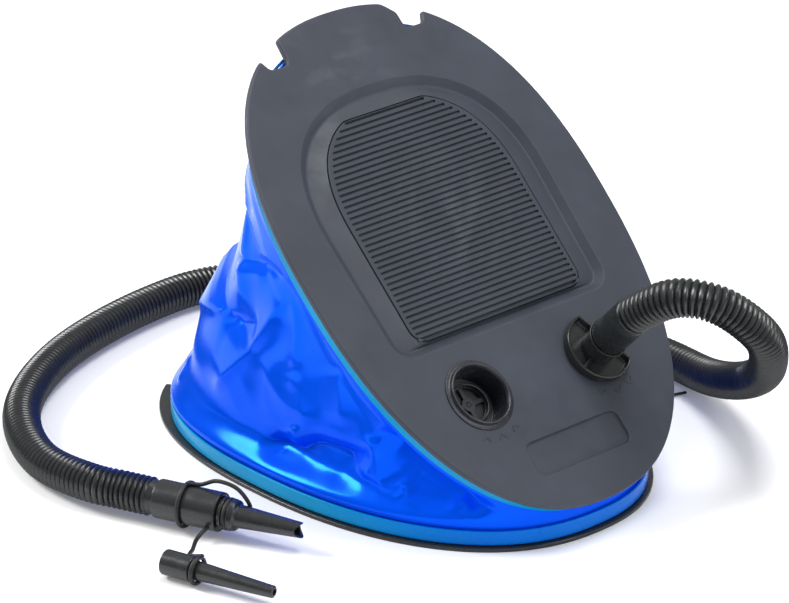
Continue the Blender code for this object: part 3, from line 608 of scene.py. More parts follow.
def finish(name, colour, roughness, spread=0.08, mottle=40.0, vary=0.12, grain=0.35, depth=0.03,
           metallic=0.0, specular=0.5, gloss=(1, 1, 1), ior=1.5, painted_glow=0.0, marks_and_painted_light=None, cad=False):
    """A moulded surface: cloudy colour, uneven gloss and a fine grain.

    Roughness varies by the spread, colour by vary over mottle millimetres, and the grain is
    depth millimetres deep. painted_glow is painted light: an emission in the surface's own
    colour, which stands for light that comes through a thin sheet. marks_and_painted_light
    adds marks to the colour: real marks on some materials, painted shade and a painted
    highlight on others. cad reads object coordinates, for nodes that come from the frame.
    """
    made = bpy.data.materials.new(name)
    made.use_nodes = True
    tree = made.node_tree
    shader = tree.nodes["Principled BSDF"]
    if cad:
        place = scaled(tree, wire(tree, "TexCoord", {}).outputs["Object"], (1 / MM,) * 3)
    else:
        place = wire(tree, "Attribute", {}, attribute_name="local").outputs["Vector"]
    fine = clouds(tree, place, grain)
    smudge = clouds(tree, place, mottle / 5, 4.0)
    cloudy = ranged(tree, clouds(tree, place, mottle, 3.0), 0, 1, 0.3, 0.7)
    colours = mixed(tree, cloudy, shade(colour, 1 - vary), shade(colour, 1 + vary))
    # Marks painted onto the colour: real marks on some materials, painted shade and a painted highlight on
    # others.
    if marks_and_painted_light:
        colours = marks_and_painted_light(tree, place, colours)
    sheen = ranged(tree, smudge, roughness - spread, roughness + spread, 0.3, 0.7)
    bump = wire(tree, "Bump", {"Strength": 1.0, "Distance": depth * MM, "Height": fine})
    feed(tree, shader, {
        "Base Color": colours, "Roughness": sheen, "Normal": bump.outputs[0], "Metallic": metallic,
        "IOR": ior, "Specular IOR Level": specular, "Specular Tint": (*gloss, 1),
        # The emission, in the surface's own colour, is painted light.
        "Emission Color": (*colour, 1), "Emission Strength": painted_glow,
    })
    return made


CHARCOAL = (0.042, 0.048, 0.065)
PAD_GREY = (0.036, 0.042, 0.058)
TEAL = (0.0, 0.26, 0.52)
BLUE = (0.0, 0.088, 0.86)
BLACK = (0.015, 0.017, 0.018)
RUBBER = (0.009, 0.009, 0.009)
STEEL = (0.45, 0.45, 0.46)


# Pieces.

def chevrons(made, x, y, outwards):
    """Three small raised arrowheads beside a port, which stand for its air's direction."""
    arrow = [(-1.6, -2.3), (-0.3, -2.3), (1.7, 0), (-0.3, 2.3), (-1.6, 2.3), (0.4, 0)]
    for turn in (-24, 0, 24):
        heading = Matrix.Rotation(radians(turn), 2)
        facing = heading if outwards else heading @ Matrix.Rotation(pi, 2)
        centre = Vector((x, y)) + heading @ Vector((ARROW_RADIUS, 0))
        loop = [centre + facing @ Vector(point) for point in arrow]
        slab(made, loop, -0.3, 0.3, 0.12)


def inner_parts(made, rim, boss, pad):
    """The bellows' rim, the spring's boss and the hinge's pad, each from a bottom to a top."""
    wall(made, rim_outline(RIM_INSET), rim_outline(RIM_INSET + RIM_WALL), *rim)
    outline = circle(SPRING_BOSS, 64, SPRING_X)
    wall(made, outline, inset(outline, BOSS_WALL), *boss)
    slab(made, rectangle(*HINGE_PAD), *pad)


def pedal_plate(material):
    made = bmesh.new()
    outer = plate(made, notched_outline(), -PEDAL_SLAB, 0, 0.5, 0.9)

    recess = arch(RECESS_TOP_X, RECESS_TOP_X, RECESS_BOTTOM_X, RECESS_HALF_WIDTH, 2.5, RECESS_EXPONENT, 12)
    foot = RECESS_SLOPE + 0.3
    slope = [(-0.6, 0.0), (-0.2, 0.0), (0.1, -0.08), (0.35, -0.3), (foot - 1.3, -RECESS_DEPTH + 0.35),
             (foot - 0.9, -RECESS_DEPTH + 0.1), (foot, -RECESS_DEPTH + 0.03)]
    recess_rings = loft(made, recess, slope)
    # From there the floor rises to a thin moat that is sunk round the pad.
    beside = towards(inset(pad_outline(), -MOAT), recess, PAD_CENTRE)
    rises = [recess_rings[-1]]
    for t in (0.04, 0.35, 0.7, 0.96, 1.0):
        line = [a.lerp(b, t) for a, b in zip(inset(recess, foot), beside)]
        rises.append(ring(made, line, -RECESS_DEPTH + (FLOOR_RISE + RECESS_DEPTH) * t))
    rises += [ring(made, beside, z) for z in (FLOOR_RISE - 0.3, -RECESS_DEPTH)]
    bridge(made, rises)
    fill(made, rises[-1])

    label = even(rectangle(*LABEL, 4.5), EDGE_SPACING)
    steps = [(-distance, -drop) for distance, drop in edge(0.5)]
    steps += [(0.1, -LABEL_DEPTH + 0.3), (0.3, -LABEL_DEPTH), (0.8, -LABEL_DEPTH)]
    label_rings = loft(made, label, steps)
    fill(made, label_rings[-1])

    under = -RECESS_DEPTH - RECESS_WALL
    dish = [ring(made, inset(recess, -RECESS_WALL), z) for z in (-PEDAL_SLAB, under)]
    bridge(made, dish)
    fill(made, dish[-1])

    port_tops, port_ends = [], []
    for side, radius in ((-1, SOCKET_OUTER), (1, NECK_OUTER)):
        hole = circle(radius + 0.3, 96, PORT_X, side * PORT_Y)
        steps = [(-distance, -drop) for distance, drop in edge(0.3)] + [(0, -PEDAL_SLAB)]
        rings = loft(made, hole, steps)
        port_tops.append(rings[0])
        port_ends.append(rings[-1])
    fill(made, outer[0], recess_rings[0], label_rings[0], *port_tops)
    fill(made, outer[-1], dish[0], *port_ends)

    inner_parts(made, (-PEDAL_SLAB - RIM_HEIGHT, -PEDAL_SLAB / 2), (under - 5.0, under + 1.0),
                (-PEDAL_SLAB - HINGE_PAD_RISE, -LABEL_DEPTH - 0.7))
    chevrons(made, PORT_X, -PORT_Y, outwards=False)
    chevrons(made, PORT_X, PORT_Y, outwards=True)
    piece("pedal_plate_shell", made, PEDAL, material, "pedal", ["pedal_plate"])


def base_plate(material):
    made = bmesh.new()
    outer = plate(made, notched_outline(), 0, LIP, 0.4, 0.6)
    fill(made, outer[0])
    fill(made, outer[-1])
    inner_parts(made, (LIP / 2, LIP + RIM_HEIGHT), (LIP / 2, LIP + 6.0), (LIP / 2, LIP + HINGE_PAD_RISE))
    piece("base_plate_shell", made, BASE, material, "base", ["base_plate"])


def band(name, node, bottom, top, place, material, body):
    """The clamping band: a thin wall with rounded edges."""
    made = bmesh.new()
    inner = BAND_INSET + BAND_WALL
    corners = [(BAND_INSET, bottom), (BAND_INSET, top), (inner, top), (inner, bottom)]
    loft(made, rim_outline(0), soft(corners, 0.6), wrap=True)
    piece(name, made, place, material, body, [node])


def stadium(x, end, radius):
    """A slot along Y with round ends."""
    points, steps = [], 6
    for centre, start in ((end, 0.0), (-end, pi)):
        for step in range(steps + 1):
            angle = start + pi * step / steps
            points.append(Vector((x + radius * cos(angle), centre + radius * sin(angle))))
    return points


def foot_pad(material):
    """The ribbed insert: a raised slab with round-ended grooves across it."""
    made = bmesh.new()
    steps = [(distance, PAD_TOP - drop) for distance, drop in edge(0.45)] + [(0, PAD_FLOOR)]
    outer = loft(made, pad_outline(), steps)
    fill(made, outer[-1])
    floor = PAD_TOP - GROOVE_DEPTH
    slots = []
    x = PAD_START_X + 1.5
    while x < PAD_BOTTOM_X - 1.5:
        part = max(0.0, ARCH_CENTRE_X - x) / (ARCH_CENTRE_X - PAD_TOP_X)
        half = PAD_HALF_WIDTH * (1 - part ** PAD_EXPONENT) ** (1 / PAD_EXPONENT)
        half -= GROOVE_MARGIN * (1 + 0.35 * part)
        shape = [(0.42, PAD_TOP), (0.22, PAD_TOP), (0.06, PAD_TOP - 0.07), (0, PAD_TOP - 0.22),
                 (-0.08, floor + 0.1), (-0.18, floor)]
        rings = [ring(made, stadium(x, half - 0.5, GROOVE_HALF_WIDTH + wide), z) for wide, z in shape]
        bridge(made, rings)
        fill(made, rings[-1])
        slots.append(rings[0])
        x += GROOVE_PITCH
    fill(made, outer[0], *slots)
    piece("foot_pad_ribbed", made, PEDAL, material, "pedal", ["foot_pad"])


def deflate_socket(material):
    """A plain bore with a thin raised rim, a low flange, a ledge and a guard ring on the ledge."""
    made = bmesh.new()
    profile = [(DEFLATE_BORE, 1.2), (15.5, 3.0), (16.5, 3.0), (17.0, 0.9), (18.8, 0.7), (18.8, 0.3),
               (SOCKET_OUTER, 0.3), (SOCKET_OUTER, -SOCKET_DEPTH), (LEDGE_BORE, -SOCKET_DEPTH),
               (LEDGE_BORE, -12.5), (DEFLATE_BORE, -12.5)]
    turned(made, soft(profile, 0.4), 96)
    guard = [(10.5, -12.7), (10.5, -8.2), (9.6, -8.2), (9.6, -12.7)]
    turned(made, soft(guard, 0.35), 96)
    piece("deflate_socket_threaded", made, DEFLATE, material, "pedal", ["deflate_socket"])


def inflate_socket(material):
    made = bmesh.new()
    below = -PEDAL_SLAB - 0.3
    profile = [(SOCKET_OUTER, -SOCKET_DEPTH), (SOCKET_OUTER, below), (NECK_OUTER, below),
               (NECK_OUTER, 0), (NECK_BORE, 0), (NECK_BORE, -4.8), (SOCKET_BORE, -4.8),
               (SOCKET_BORE, -12.5), (LEDGE_BORE, -12.5), (LEDGE_BORE, -SOCKET_DEPTH)]
    turned(made, soft(profile, 0.3))
    piece("inflate_socket_chamber", made, INFLATE, material, "pedal", ["inflate_socket"])


def d_outline(radius, chord):
    """A circle cut off straight at y = chord, its two corners rounded."""
    half_missing = acos(chord / radius)
    start, sweep = pi / 2 + half_missing, 2 * (pi - half_missing)
    angles = [start + sweep * step / 72 for step in range(73)]
    loop = even([Vector((radius * cos(a), radius * sin(a))) for a in angles], 0.8)
    return [Matrix.Rotation(CUP_HEADING, 2) @ point for point in soften(loop, 5)]


def hose_connector(material):
    """A plug and a tail in one, standing in a shallow D-shaped cup that serves as a grip."""
    made = bmesh.new()
    profile = [(7.6, -5), (7.6, 0.5), (9.3, 0.5), (9.3, 13.5), (7.6, 13.5), (7.6, 25), (5.8, 25),
               (5.8, -5)]
    turned(made, soft(profile, 0.5))
    profile = [(9.2, 11.0), (9.2, 13.5), (10.6, 13.5), (10.6, 12.4), (9.9, 11.4)]
    turned(made, soft(profile, 0.3))
    cup = d_outline(CUP_RADIUS, CUP_CHORD)
    steps = [(0.7, 0.3), (0.15, 0.5), (0, 0.9), (0, 4.6), (0.12, 5.0), (0.45, 5.3), (0.9, 5.3),
             (1.2, 5.1), (1.35, 4.7), (1.45, 2.4), (1.7, 1.95), (2.2, 1.8), (2.6, 1.8)]
    rings = loft(made, cup, steps)
    fill(made, rings[0])
    fill(made, rings[-1])
    rib = [Matrix.Rotation(CUP_HEADING, 2) @ point for point in rectangle((-0.7, -17.6), (0.7, -8.8), 0.3)]
    slab(made, rib, 1.5, 4.4, 0.25)
    piece("hose_connector_grip", made, INFLATE, material, "connector", ["hose_connector"])


def hose_knots():
    """Centreline: up out of the connector, down behind the pump and round its lifting end."""
    rise = [PEDAL_IN_BASE @ Vector((PORT_X, PORT_Y, z)) for z in (CUFF_START, 26.0, CUFF_END)]
    free = [(145, 46, 113), (161, 58, 111), (170, 79, 92), (152, 105, 61), (117, 129, 33),
            (76, 145, 15), (35, 152, 10.7), (-30, 146, 10.7), (-95, 127, 10.7), (-155, 90, 10.7),
            (-194, 37, 10.7), (-197, -10, 10.7), (-176, -88, 10.7), (-136, -143, 10.7),
            (-86, -169, 10.7)]
    heading = Vector((cos(FITTING_HEADING), sin(FITTING_HEADING), 0))
    end = [NOZZLE_START + heading * ahead for ahead in (-34, -17, HOSE_END)]
    return [*rise, *(Vector(point) for point in free), *end]


def hose(material):
    """Corrugated hose with a plain cuff on the connector."""
    made, sides = bmesh.new(), 28
    knots = hose_knots()
    path = Path(knots)
    cuff = CUFF_END - CUFF_START
    outer = [(0.0, HOSE_RADIUS - 0.6), (0.35, HOSE_RADIUS - 0.15), (0.9, HOSE_RADIUS),
             (cuff - 1.2, HOSE_RADIUS), (cuff - 0.6, HOSE_RADIUS - 0.2)]
    for turn in range(int((path.length - cuff) / CORRUGATION_PITCH)):
        for t in (0.0, 0.12, 0.27, 0.5, 0.73, 0.88):
            swell = sin(pi * t) ** 0.9
            radius = HOSE_RADIUS - CORRUGATION_DEPTH * (1 - swell)
            outer.append((cuff + (turn + t) * CORRUGATION_PITCH, radius))
    outer.append((path.length, HOSE_RADIUS - CORRUGATION_DEPTH))
    inner = [(path.length * step / 240, HOSE_BORE) for step in range(240, -1, -1)]
    rings = path.rings(made, outer + inner, sides)
    bridge(made, rings, wrap=True)
    item = piece("hose_corrugated", made, BASE, material, None, ["hose"])

    blend_by(item)


def hose_end_adaptor(material):
    made = bmesh.new()
    shoulder = HOSE_END + 0.3
    profile = [(7.6, -15), (7.6, shoulder), (9.9, shoulder), (9.9, SLEEVE_END), (8.0, SLEEVE_END),
               (7.4, 18), (5.2, 18), (5.2, -15)]
    turned(made, soft(profile, 0.6))
    piece("hose_end_adaptor_sleeve", made, FITTINGS, material, "base", ["hose_end_adaptor"])


def nozzle(material):
    """Push-in nozzle: plug, two collars and a cone whose mouth is scalloped."""
    made = bmesh.new()
    profile = [(7.1, 20), (7.1, 39), (8.2, 39), (8.2, 41), (6.4, 41), (6.4, 44), (8.2, 44),
               (7.6, 47), (5.9, 48), (3.9, 83), (2.9, 83), (4.6, 48), (5.4, 20)]
    turned(made, soft(profile, 0.45), 56)
    for vert in made.verts:
        tip = vert.co.z - 76.0
        if tip > 0:
            vert.co.z -= 3.4 * max(0.0, 1 - (vert.co.x / 3.9) ** 2) * min(1.0, tip / 6.0)
    piece("nozzle_tapered", made, FITTINGS, material, "nozzle", ["nozzle"])


def spare_nozzle(material):
    made = bmesh.new()
    profile = [(6.4, 0), (6.4, 16), (4.7, 16), (4.7, 20), (3.1, 61), (1.6, 61.6), (1.6, 40), (2.8, 19),
               (5.0, 14), (5.0, 0)]
    turned(made, soft(profile, 0.45), 56)
    piece("spare_nozzle_tapered", made, SPARE, material, "base", ["spare_nozzle"])


def tether(material):
    """A soft strap with a ring on the adaptor, one round the nozzle's neck and one on the spare."""
    made = bmesh.new()
    fittings, spare = BASE.inverted() @ FITTINGS, BASE.inverted() @ SPARE
    to_neck = [fittings @ Vector((-11.2, 1, TETHER_RING_Z)), (7, -143, 23), (16, -139.8, 27.2),
               (25.5, -135.5, 25.5), (30.5, -133, 20), (31, -131.5, 15.5),
               fittings @ Vector((-1, 7.8, NECK_RING_Z))]
    to_spare = [fittings @ Vector((2.5, -7.2, NECK_RING_Z)), (24.9, -146.3, 8), (20.6, -149, 7),
                (20.8, -153, 6), (23, -159, 4.5), (32, -169, 6), (42, -179, 10),
                spare @ Vector((-5.8, 4.6, SPARE_RING_Z))]
    weights, sides = [], 14
    for knots, at_start, at_end in ((to_neck, 0.0, 1.0), (to_spare, 1.0, 0.0)):
        path = Path([Vector(knot) for knot in knots])
        count = int(path.length / 0.8)
        steps = [(path.length * step / count, STRAP_RADIUS) for step in range(count + 1)]
        rod(made, path, steps, sides)
        for place, _ in steps:
            share = smooth_step(place / path.length, 0.05, 0.95)
            weights += [at_start + (at_end - at_start) * share] * sides
    for radius, z, place, weight in ((11.1, TETHER_RING_Z, fittings, 0.0),
                                     (7.35, NECK_RING_Z, fittings, 1.0), (6.4, SPARE_RING_Z, spare, 0.0)):
        profile = [(radius + 0.95 * cos(a), z - 1.2 * sin(a)) for a in round_angles(12)]
        turned(made, profile, 48, place)
        weights += [weight] * (len(profile) * 48)
    item = piece("tether_strap", made, BASE, material, None, ["tether"])
    blend_by(item)


def storage_cord(material):
    made = bmesh.new()
    knots = [(44, 107, 1.4), (51, 119, 1.4), (57, 132, 1.4), (61, 143, 1.4)]
    path = Path([Vector(knot) for knot in knots], 0.5)
    count = int(path.length / 0.5)
    steps = [(path.length * step / count, 0.5 if step in (0, count) else 0.8) for step in range(count + 1)]
    rod(made, path, steps, 14)
    piece("storage_cord_strand", made, BASE, material, "base", ["storage_cord"])


def polar(point):
    """A point's distance from the hinge pin and its angle up from the base."""
    x, z = HINGE.x / MM - point.x, point.z - HINGE.z / MM
    return hypot(x, z), atan2(z, x)


def return_spring(material):
    """A coil whose turns fan out about the hinge pin, nearly closed at each end."""
    made = bmesh.new()
    steps_per_turn, sides = 40, 12
    foot = LIP + SPRING_WIRE + 0.3
    head = -RECESS_DEPTH - RECESS_WALL - SPRING_WIRE - 0.3
    lift = 2.4 * SPRING_WIRE
    knots, shares = [], []
    for step in range(SPRING_TURNS * steps_per_turn + 1):
        turn = step / steps_per_turn
        share = held((turn - SPRING_CLOSED) / (SPRING_TURNS - 2 * SPRING_CLOSED))
        x = SPRING_X + SPRING_RADIUS * cos(2 * pi * turn)
        y = SPRING_RADIUS * sin(2 * pi * turn)
        low = polar(Vector((x, y, foot + lift * min(1.0, turn / SPRING_CLOSED))))
        height = head - lift * min(1.0, (SPRING_TURNS - turn) / SPRING_CLOSED)
        high = polar(PEDAL_IN_BASE @ Vector((x, y, height)))
        radius, angle = (a * (1 - share) + b * share for a, b in zip(low, high))
        knots.append(Vector((HINGE.x / MM - radius * cos(angle), y, HINGE.z / MM + radius * sin(angle))))
        shares.append(share)
    path = Path(knots, 1000.0)
    rod(made, path, [(place, SPRING_WIRE) for place in path.places], sides)
    item = piece("return_spring_coil", made, BASE, material, None, ["return_spring"])
    blend_by(item)


# Bellows.

SKIN_ROWS = 96
SKIN_SPACING = 1.6


def curve_through(knots):
    """A smooth curve through (position, height) knots, as two lists for numpy.interp."""
    path = smooth_path([Vector((position, height, 0)) for position, height in knots], 0.01)
    return [point.x for point in path], [point.y for point in path]


# How far the skin stands in from the straight line between the bands, over its height at the
# lifting end, and over the distance in millimetres from each band along the sides.
END_PROFILE = [(0, 0), (0.015, -2.6), (0.035, -1.5), (0.09, 1.5), (0.15, 3.5), (0.22, 2.6), (0.38, 5),
               (0.46, 10), (0.59, 14), (0.71, 14), (0.77, 12.5), (0.83, 9), (0.9, 4), (1, 0)]
FOOT_PROFILE = [(0, 0), (2, -0.9), (4.2, -1.5), (6, -0.6), (14, 6.5), (22, 8), (60, 8)]
HEAD_PROFILE = [(0, 0), (2.5, -0.6), (5, 1), (10, 6), (20, 8), (60, 8)]

# Folds: knots as (distance along the rim from the lifting end's middle, share of the way up),
# then the fold's height, and its width to the left and to the right of the line's direction.
FOLDS = [
    ([(80, 0.92), (92, 0.78), (106, 0.7), (118, 0.62), (132, 0.53)], 4.6, 8, 24),
    ([(52, 0.26), (80, 0.35), (99, 0.42), (134, 0.54)], 3.4, 18, 4),
    ([(112, 0.43), (130, 0.49), (146, 0.58)], -2.6, 5, 9),
    ([(98, 0.62), (110, 0.66), (130, 0.763), (154, 0.86)], -2.2, 2.2, 2.2),
    ([(104, 0.595), (118, 0.655), (140, 0.76)], 1.5, 3.5, 4.5),
    ([(164, 0.88), (158, 0.775), (150, 0.56), (140, 0.38), (124, 0.16)], 4.6, 5, 15),
    ([(158, 0.85), (166, 0.82), (173, 0.72), (177, 0.6), (182, 0.44)], 1.6, 4, 5),
    ([(80, 0.16), (83, 0.05)], 1.3, 2.5, 2.5),
    ([(170, 0.13), (194, 0.17), (204, 0.26), (223, 0.331), (240, 0.45)], -6.5, 4, 22),
    ([(188, 0.3), (192, 0.24), (193, 0.15)], 1.8, 3.5, 3.5),
    ([(236, 0.62), (243, 0.45), (241, 0.2)], 2.4, 9, 3.2),
    ([(241, 0.68), (246, 0.494), (250, 0.3), (255, 0.26), (264, 0.394)], 2.8, 3, 4),
    ([(260, 0.13), (264, 0.394), (270, 0.256), (281, 0.16)], 3, 2.8, 3.5),
    ([(238, 0.72), (262, 0.72), (290, 0.7), (320, 0.66)], -10, 5, 11),
    ([(290, 0.2), (299, 0.5), (303, 0.14)], 2.6, 2.8, 3.2),
    ([(150, 0.5), (170, 0.4), (186, 0.38), (205, 0.46)], 1.4, 10, 8),
    ([(205, 0.85), (214, 0.66), (218, 0.5)], 1.2, 6, 9),
    ([(30, 0.62), (46, 0.5), (56, 0.36)], 2, 8, 6),
    ([(4, 0.8), (14, 0.6), (20, 0.34), (16, 0.18)], 2.4, 9, 5),
]
DENTS = [(178, 0.56, 5, 1.4), (228, 0.3, 4, 1.4), (60, 0.2, 14, 1.5)]


def segment_distances(along, low, start, end):
    """Signed distance of grid points from a segment, positive to its left, and the share along it."""
    across = end - start
    share = ((along - start.x) * across.x + (low - start.y) * across.y) / across.length_squared
    share = numpy.clip(share, 0, 1)
    aside_x = along - start.x - share * across.x
    aside_y = low - start.y - share * across.y
    left = numpy.where(across.x * aside_y - across.y * aside_x >= 0, 1.0, -1.0)
    return left * numpy.hypot(aside_x, aside_y), share


def fold(along, low, line, height, left, right):
    """A crest that follows a line and dies out at its two ends."""
    nearest = numpy.full(along.shape, 1e6)
    place = numpy.zeros(along.shape)
    for index, (start, end) in enumerate(zip(line, line[1:])):
        distance, share = segment_distances(along, low, start, end)
        closer = numpy.abs(distance) < numpy.abs(nearest)
        nearest = numpy.where(closer, distance, nearest)
        place = numpy.where(closer, (index + share) / (len(line) - 1), place)
    width = numpy.where(nearest > 0, left, right)
    crest = numpy.exp(-(numpy.sqrt(nearest ** 2 + 0.5) - 0.7) / width)
    ends = numpy.clip(numpy.minimum(place, 1 - place) / 0.22, 0, 1)
    return height * crest * ends * ends * (3 - 2 * ends)


def crumple(along, low):
    """Soft buckles all over, in millimetres."""
    wave = noise.noise(Vector((along / 40, low / 60, 3.1)))
    slant = along * 0.8 + low * 0.55
    across = low * 0.8 - along * 0.55
    ridge = 1 - 2 * abs(noise.noise(Vector((slant / 26, across / 55, 7.7))))
    return 0.7 * wave + 0.35 * (ridge ** 3 - 0.3)


def skin_offsets(along, shares, lengths, plan_x):
    """How far out the skin stands from the straight line between the bands, for a grid of points."""
    low = shares[:, None] * lengths
    high = lengths - low
    around = numpy.broadcast_to(along, low.shape)
    end = -numpy.interp(shares, *curve_through(END_PROFILE))[:, None] * lengths / lengths.max()
    side = -numpy.minimum(numpy.interp(low, *curve_through(FOOT_PROFILE)),
                          numpy.interp(high, *curve_through(HEAD_PROFILE)))
    at_end = smooth_step(-plan_x, 20, 90)
    offsets = end * at_end + side * smooth_step(lengths, 10, 60) * (1 - at_end)
    detail = numpy.array([[crumple(a, b) for a, b in zip(*row)] for row in zip(around, low)])
    for mirror, amount, shift in ((1, 1.0, 0.0), (-1, 0.8, 9.0)):
        side_along = mirror * around + shift
        for knots, height, left, right in FOLDS:
            rooted = [(a, share * numpy.interp(mirror * a, along, lengths)) for a, share in knots]
            line = [Vector(point[:2]) for point in smooth_path([Vector((*p, 0)) for p in rooted], 5.0)]
            detail += amount * fold(side_along, low, line, height, left, right)
        for a, share, reach, depth in DENTS:
            centre = share * numpy.interp(mirror * a, along, lengths)
            away = (side_along - a) ** 2 + (low - centre) ** 2
            detail -= amount * depth * numpy.exp(-away / reach ** 2)
    free = smooth_step(numpy.minimum(low - 3, high), 2, 11)
    return offsets + detail * free * smooth_step(lengths, 6, 30)


def bellows(material):
    """The skin: a grid between the two bands, drawn in, folded and given a thickness."""
    made = bmesh.new()
    outline = rim_outline(SKIN_INSET, SKIN_SPACING)
    count = len(outline)
    outward = [(a - b).normalized() for a, b in zip(outline, inset(outline, 1.0))]
    lows = [Vector((p.x, p.y, LIP + BAND_HEIGHT)) for p in outline]
    highs = [PEDAL_IN_BASE @ Vector((p.x, p.y, -PEDAL_SLAB - BAND_HEIGHT + 1.0)) for p in outline]
    lengths = numpy.array([(b - a).length for a, b in zip(lows, highs)])
    perimeter = sum((b - a).length for a, b in zip(outline, outline[1:] + outline[:1]))
    along = perimeter * (numpy.arange(count) / count - 0.5)
    rows = numpy.arange(SKIN_ROWS + 1) / SKIN_ROWS
    shares = rows - 0.55 * numpy.sin(2 * pi * rows) / (2 * pi)
    offsets = skin_offsets(along, shares, lengths, numpy.array([point.x for point in outline]))
    layers, weights = [], []
    for depth, order in ((0.0, 1), (SKIN_WALL, -1)):
        moved = [point - out * depth for point, out in zip(outline, outward)]
        layer = [[Vector((*point, LIP + 0.3)) for point in moved]]
        for share, row in zip(shares, offsets):
            layer.append([low.lerp(high, share) + Vector((*out, 0)) * (offset - depth)
                          for low, high, out, offset in zip(lows, highs, outward, row)])
        layer.append([PEDAL_IN_BASE @ Vector((*point, -PEDAL_SLAB - 0.3)) for point in moved])
        layers += layer[::order]
        weights += [0.0, *shares, 1.0][::order]
    rings = [[made.verts.new(point) for point in layer] for layer in layers]
    bridge(made, rings, wrap=True)
    item = piece("bellows_skin", made, BASE, material, None, ["bellows"])
    blend_by(item)


# Stage.

def camera():
    """The photograph's angle: a long lens from above the near side of the hinged end."""
    azimuth, elevation, roll = radians(47.7325), radians(24.3221), radians(0.218)
    distance, aside, above = 2259.8, -6.007, 69.31
    back = Vector((sin(azimuth) * cos(elevation), -cos(azimuth) * cos(elevation), sin(elevation)))
    level = Vector((cos(azimuth), sin(azimuth), 0))
    right = Matrix.Rotation(roll, 3, back) @ level
    up = back.cross(right)
    data = bpy.data.cameras.new("camera")
    data.lens = 200.9
    data.clip_start, data.clip_end = 0.1, 20.0
    item = added("camera", data)
    turn = Matrix((right, up, back)).transposed().to_4x4()
    item.matrix_world = Matrix.Translation((back * distance + right * aside + up * above) * MM) @ turn
    bpy.context.scene.camera = item


def floor():
    made = bmesh.new()
    bmesh.ops.create_grid(made, x_segments=1, y_segments=1, size=6.0)
    mesh = bpy.data.meshes.new("floor")
    made.to_mesh(mesh)
    made.free()
    paint = finish("floor_paint", (0.86, 0.86, 0.86), 0.7, 0.05, 400.0, 0.01, painted_glow=0.15, cad=True)
    mesh.materials.append(paint)
    item = added("floor", mesh)


def area_light(name, place, size, power):
    """A rectangular light that faces the pump's middle."""
    data = bpy.data.lights.new(name, "AREA")
    data.shape = "RECTANGLE"
    data.size, data.size_y = size
    data.energy = power
    item = added(name, data)
    item.location = place
    item.rotation_euler = (item.location - Vector((0, 0, 0.08))).to_track_quat("Z", "Y").to_euler()


def lights():
    """A bright ceiling that fades to a dim horizon, and three softboxes."""
    world = bpy.data.worlds.new("studio")
    world.use_nodes = True
    tree = world.node_tree
    direction = wire(tree, "TexCoord", {}).outputs["Generated"]
    height = wire(tree, "SeparateXYZ", {0: direction}).outputs["Z"]
    brightness = ranged(tree, height, 0.2, 0.7, 0.0, 0.8)
    feed(tree, tree.nodes["Background"], {"Strength": brightness, "Color": (1, 1, 1, 1)})
    bpy.context.scene.world = world
    area_light("softbox_left", (-1.2, -0.95, 1.25), (0.7, 0.7), 31)
    area_light("softbox_top", (0.2, 0.3, 1.7), (0.9, 0.6), 18)
    area_light("strip_right", (1.4, 0.5, 0.9), (0.4, 1.2), 8)


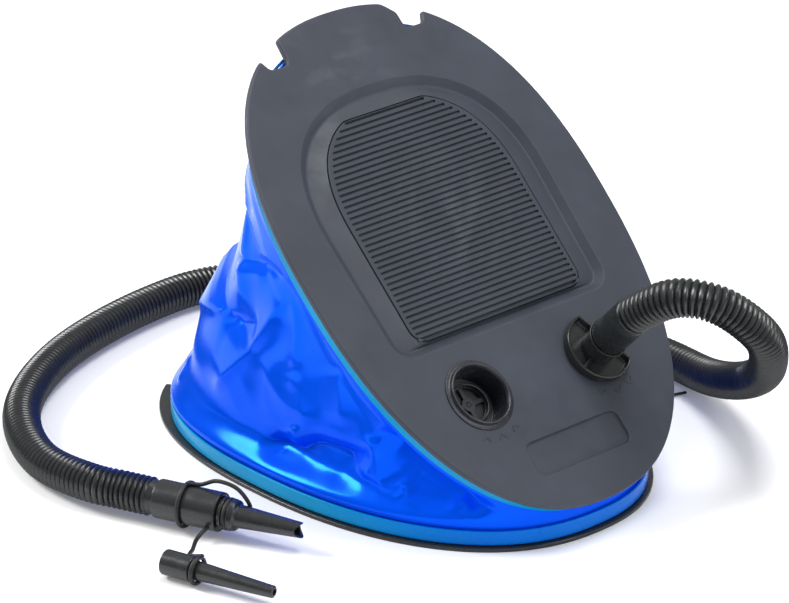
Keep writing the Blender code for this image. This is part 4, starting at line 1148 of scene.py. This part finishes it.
def build():
    # The plate's pale smears at the lifting end are partly a painted highlight.
    plate = finish("charcoal_moulding", CHARCOAL, 0.46, 0.1, 45.0, 0.12, 0.4, 0.03, specular=0.3,
                   marks_and_painted_light=scuffs_and_painted_highlight)
    pad = finish("pad_moulding", PAD_GREY, 0.5, 0.08, 30.0, 0.1, 0.4, 0.03, specular=0.3, marks_and_painted_light=worn_ribs)
    teal = (TEAL, 0.3, 0.06, 60.0, 0.1, 0.5, 0.015)
    gloss = (0.2, 0.8, 1)
    # The upper band's copy of teal carries painted shade towards the lifting end.
    upper_teal = finish("teal_upper_band_painted_shade", *teal, specular=0.3, gloss=gloss, marks_and_painted_light=painted_shade_band)
    lower_teal = finish("teal_lower_band", *teal, specular=0.4, gloss=gloss, marks_and_painted_light=bluish_band)
    # The blue vinyl's glow is painted light.
    blue = finish("blue_vinyl", BLUE, 0.2, 0.04, 60.0, 0.08, 1.6, 0.01, metallic=0.35, gloss=(0.3, 0.6, 1),
                  ior=1.22, painted_glow=0.05)
    black = finish("black_moulding", BLACK, 0.27, 0.07, 30.0, 0.15, 0.4, 0.02)
    rubber = finish("black_soft_rubber", RUBBER, 0.55, 0.08, 20.0, 0.15, 0.3, 0.02)
    steel = finish("drawn_steel", STEEL, 0.28, 0.08, 6.0, 0.15, 0.25, 0.01, metallic=1.0)
    # The sockets' moulding is the charcoal painted darker: painted shade for their deep bores.
    socket_painted_shade = finish("socket_moulding_painted_shade", shade(CHARCOAL, 0.4), 0.3, 0.08, 20.0, 0.1, 0.4, 0.02)
    pedal_plate(plate)
    base_plate(black)
    band("base_band_ring", "base_band", LIP + 0.3, LIP + BAND_HEIGHT, BASE, lower_teal, "base")
    band("pedal_band_ring", "pedal_band", -PEDAL_SLAB - BAND_HEIGHT + 1, -PEDAL_SLAB - 0.3, PEDAL,
         upper_teal, "pedal")
    foot_pad(pad)
    deflate_socket(socket_painted_shade)
    inflate_socket(socket_painted_shade)
    hose_connector(black)
    hose(black)
    hose_end_adaptor(black)
    nozzle(black)
    spare_nozzle(black)
    tether(rubber)
    storage_cord(rubber)
    return_spring(steel)
    bellows(blue)


def dress_cad_nodes():
    """Nodes whose CAD shape is right keep it and get the same finishes."""
    finishes = {
        # The charcoal small parts are painted darker in the same way: painted shade.
        "charcoal_plastic": finish("charcoal_small_parts_painted_shade", shade(CHARCOAL, 0.4), 0.4, 0.1, 25.0, cad=True),
        "black_plastic": finish("black_small_parts", BLACK, 0.36, 0.08, 20.0, cad=True),
        "black_rubber": finish("rubber_small_parts", RUBBER, 0.6, 0.08, 15.0, cad=True),
        "spring_steel": finish("steel_small_parts", STEEL, 0.28, 0.08, 6.0, metallic=1.0, cad=True),
    }
    ends = {"pin": "spring_steel", "screw_left": "spring_steel", "screw_right": "spring_steel",
            "flap": "black_rubber", "o_ring": "black_rubber", "stud": "black_plastic"}
    for name, node in frame["nodes"].items():
        if node.hide_render:
            continue
        slot = next((slot for end, slot in ends.items() if name.endswith(end)), "charcoal_plastic")
        node.data.materials.clear()
        node.data.materials.append(finishes[slot])


build()
dress_cad_nodes()
floor()
lights()
camera()
bpy.context.scene.view_settings.view_transform = "Standard"
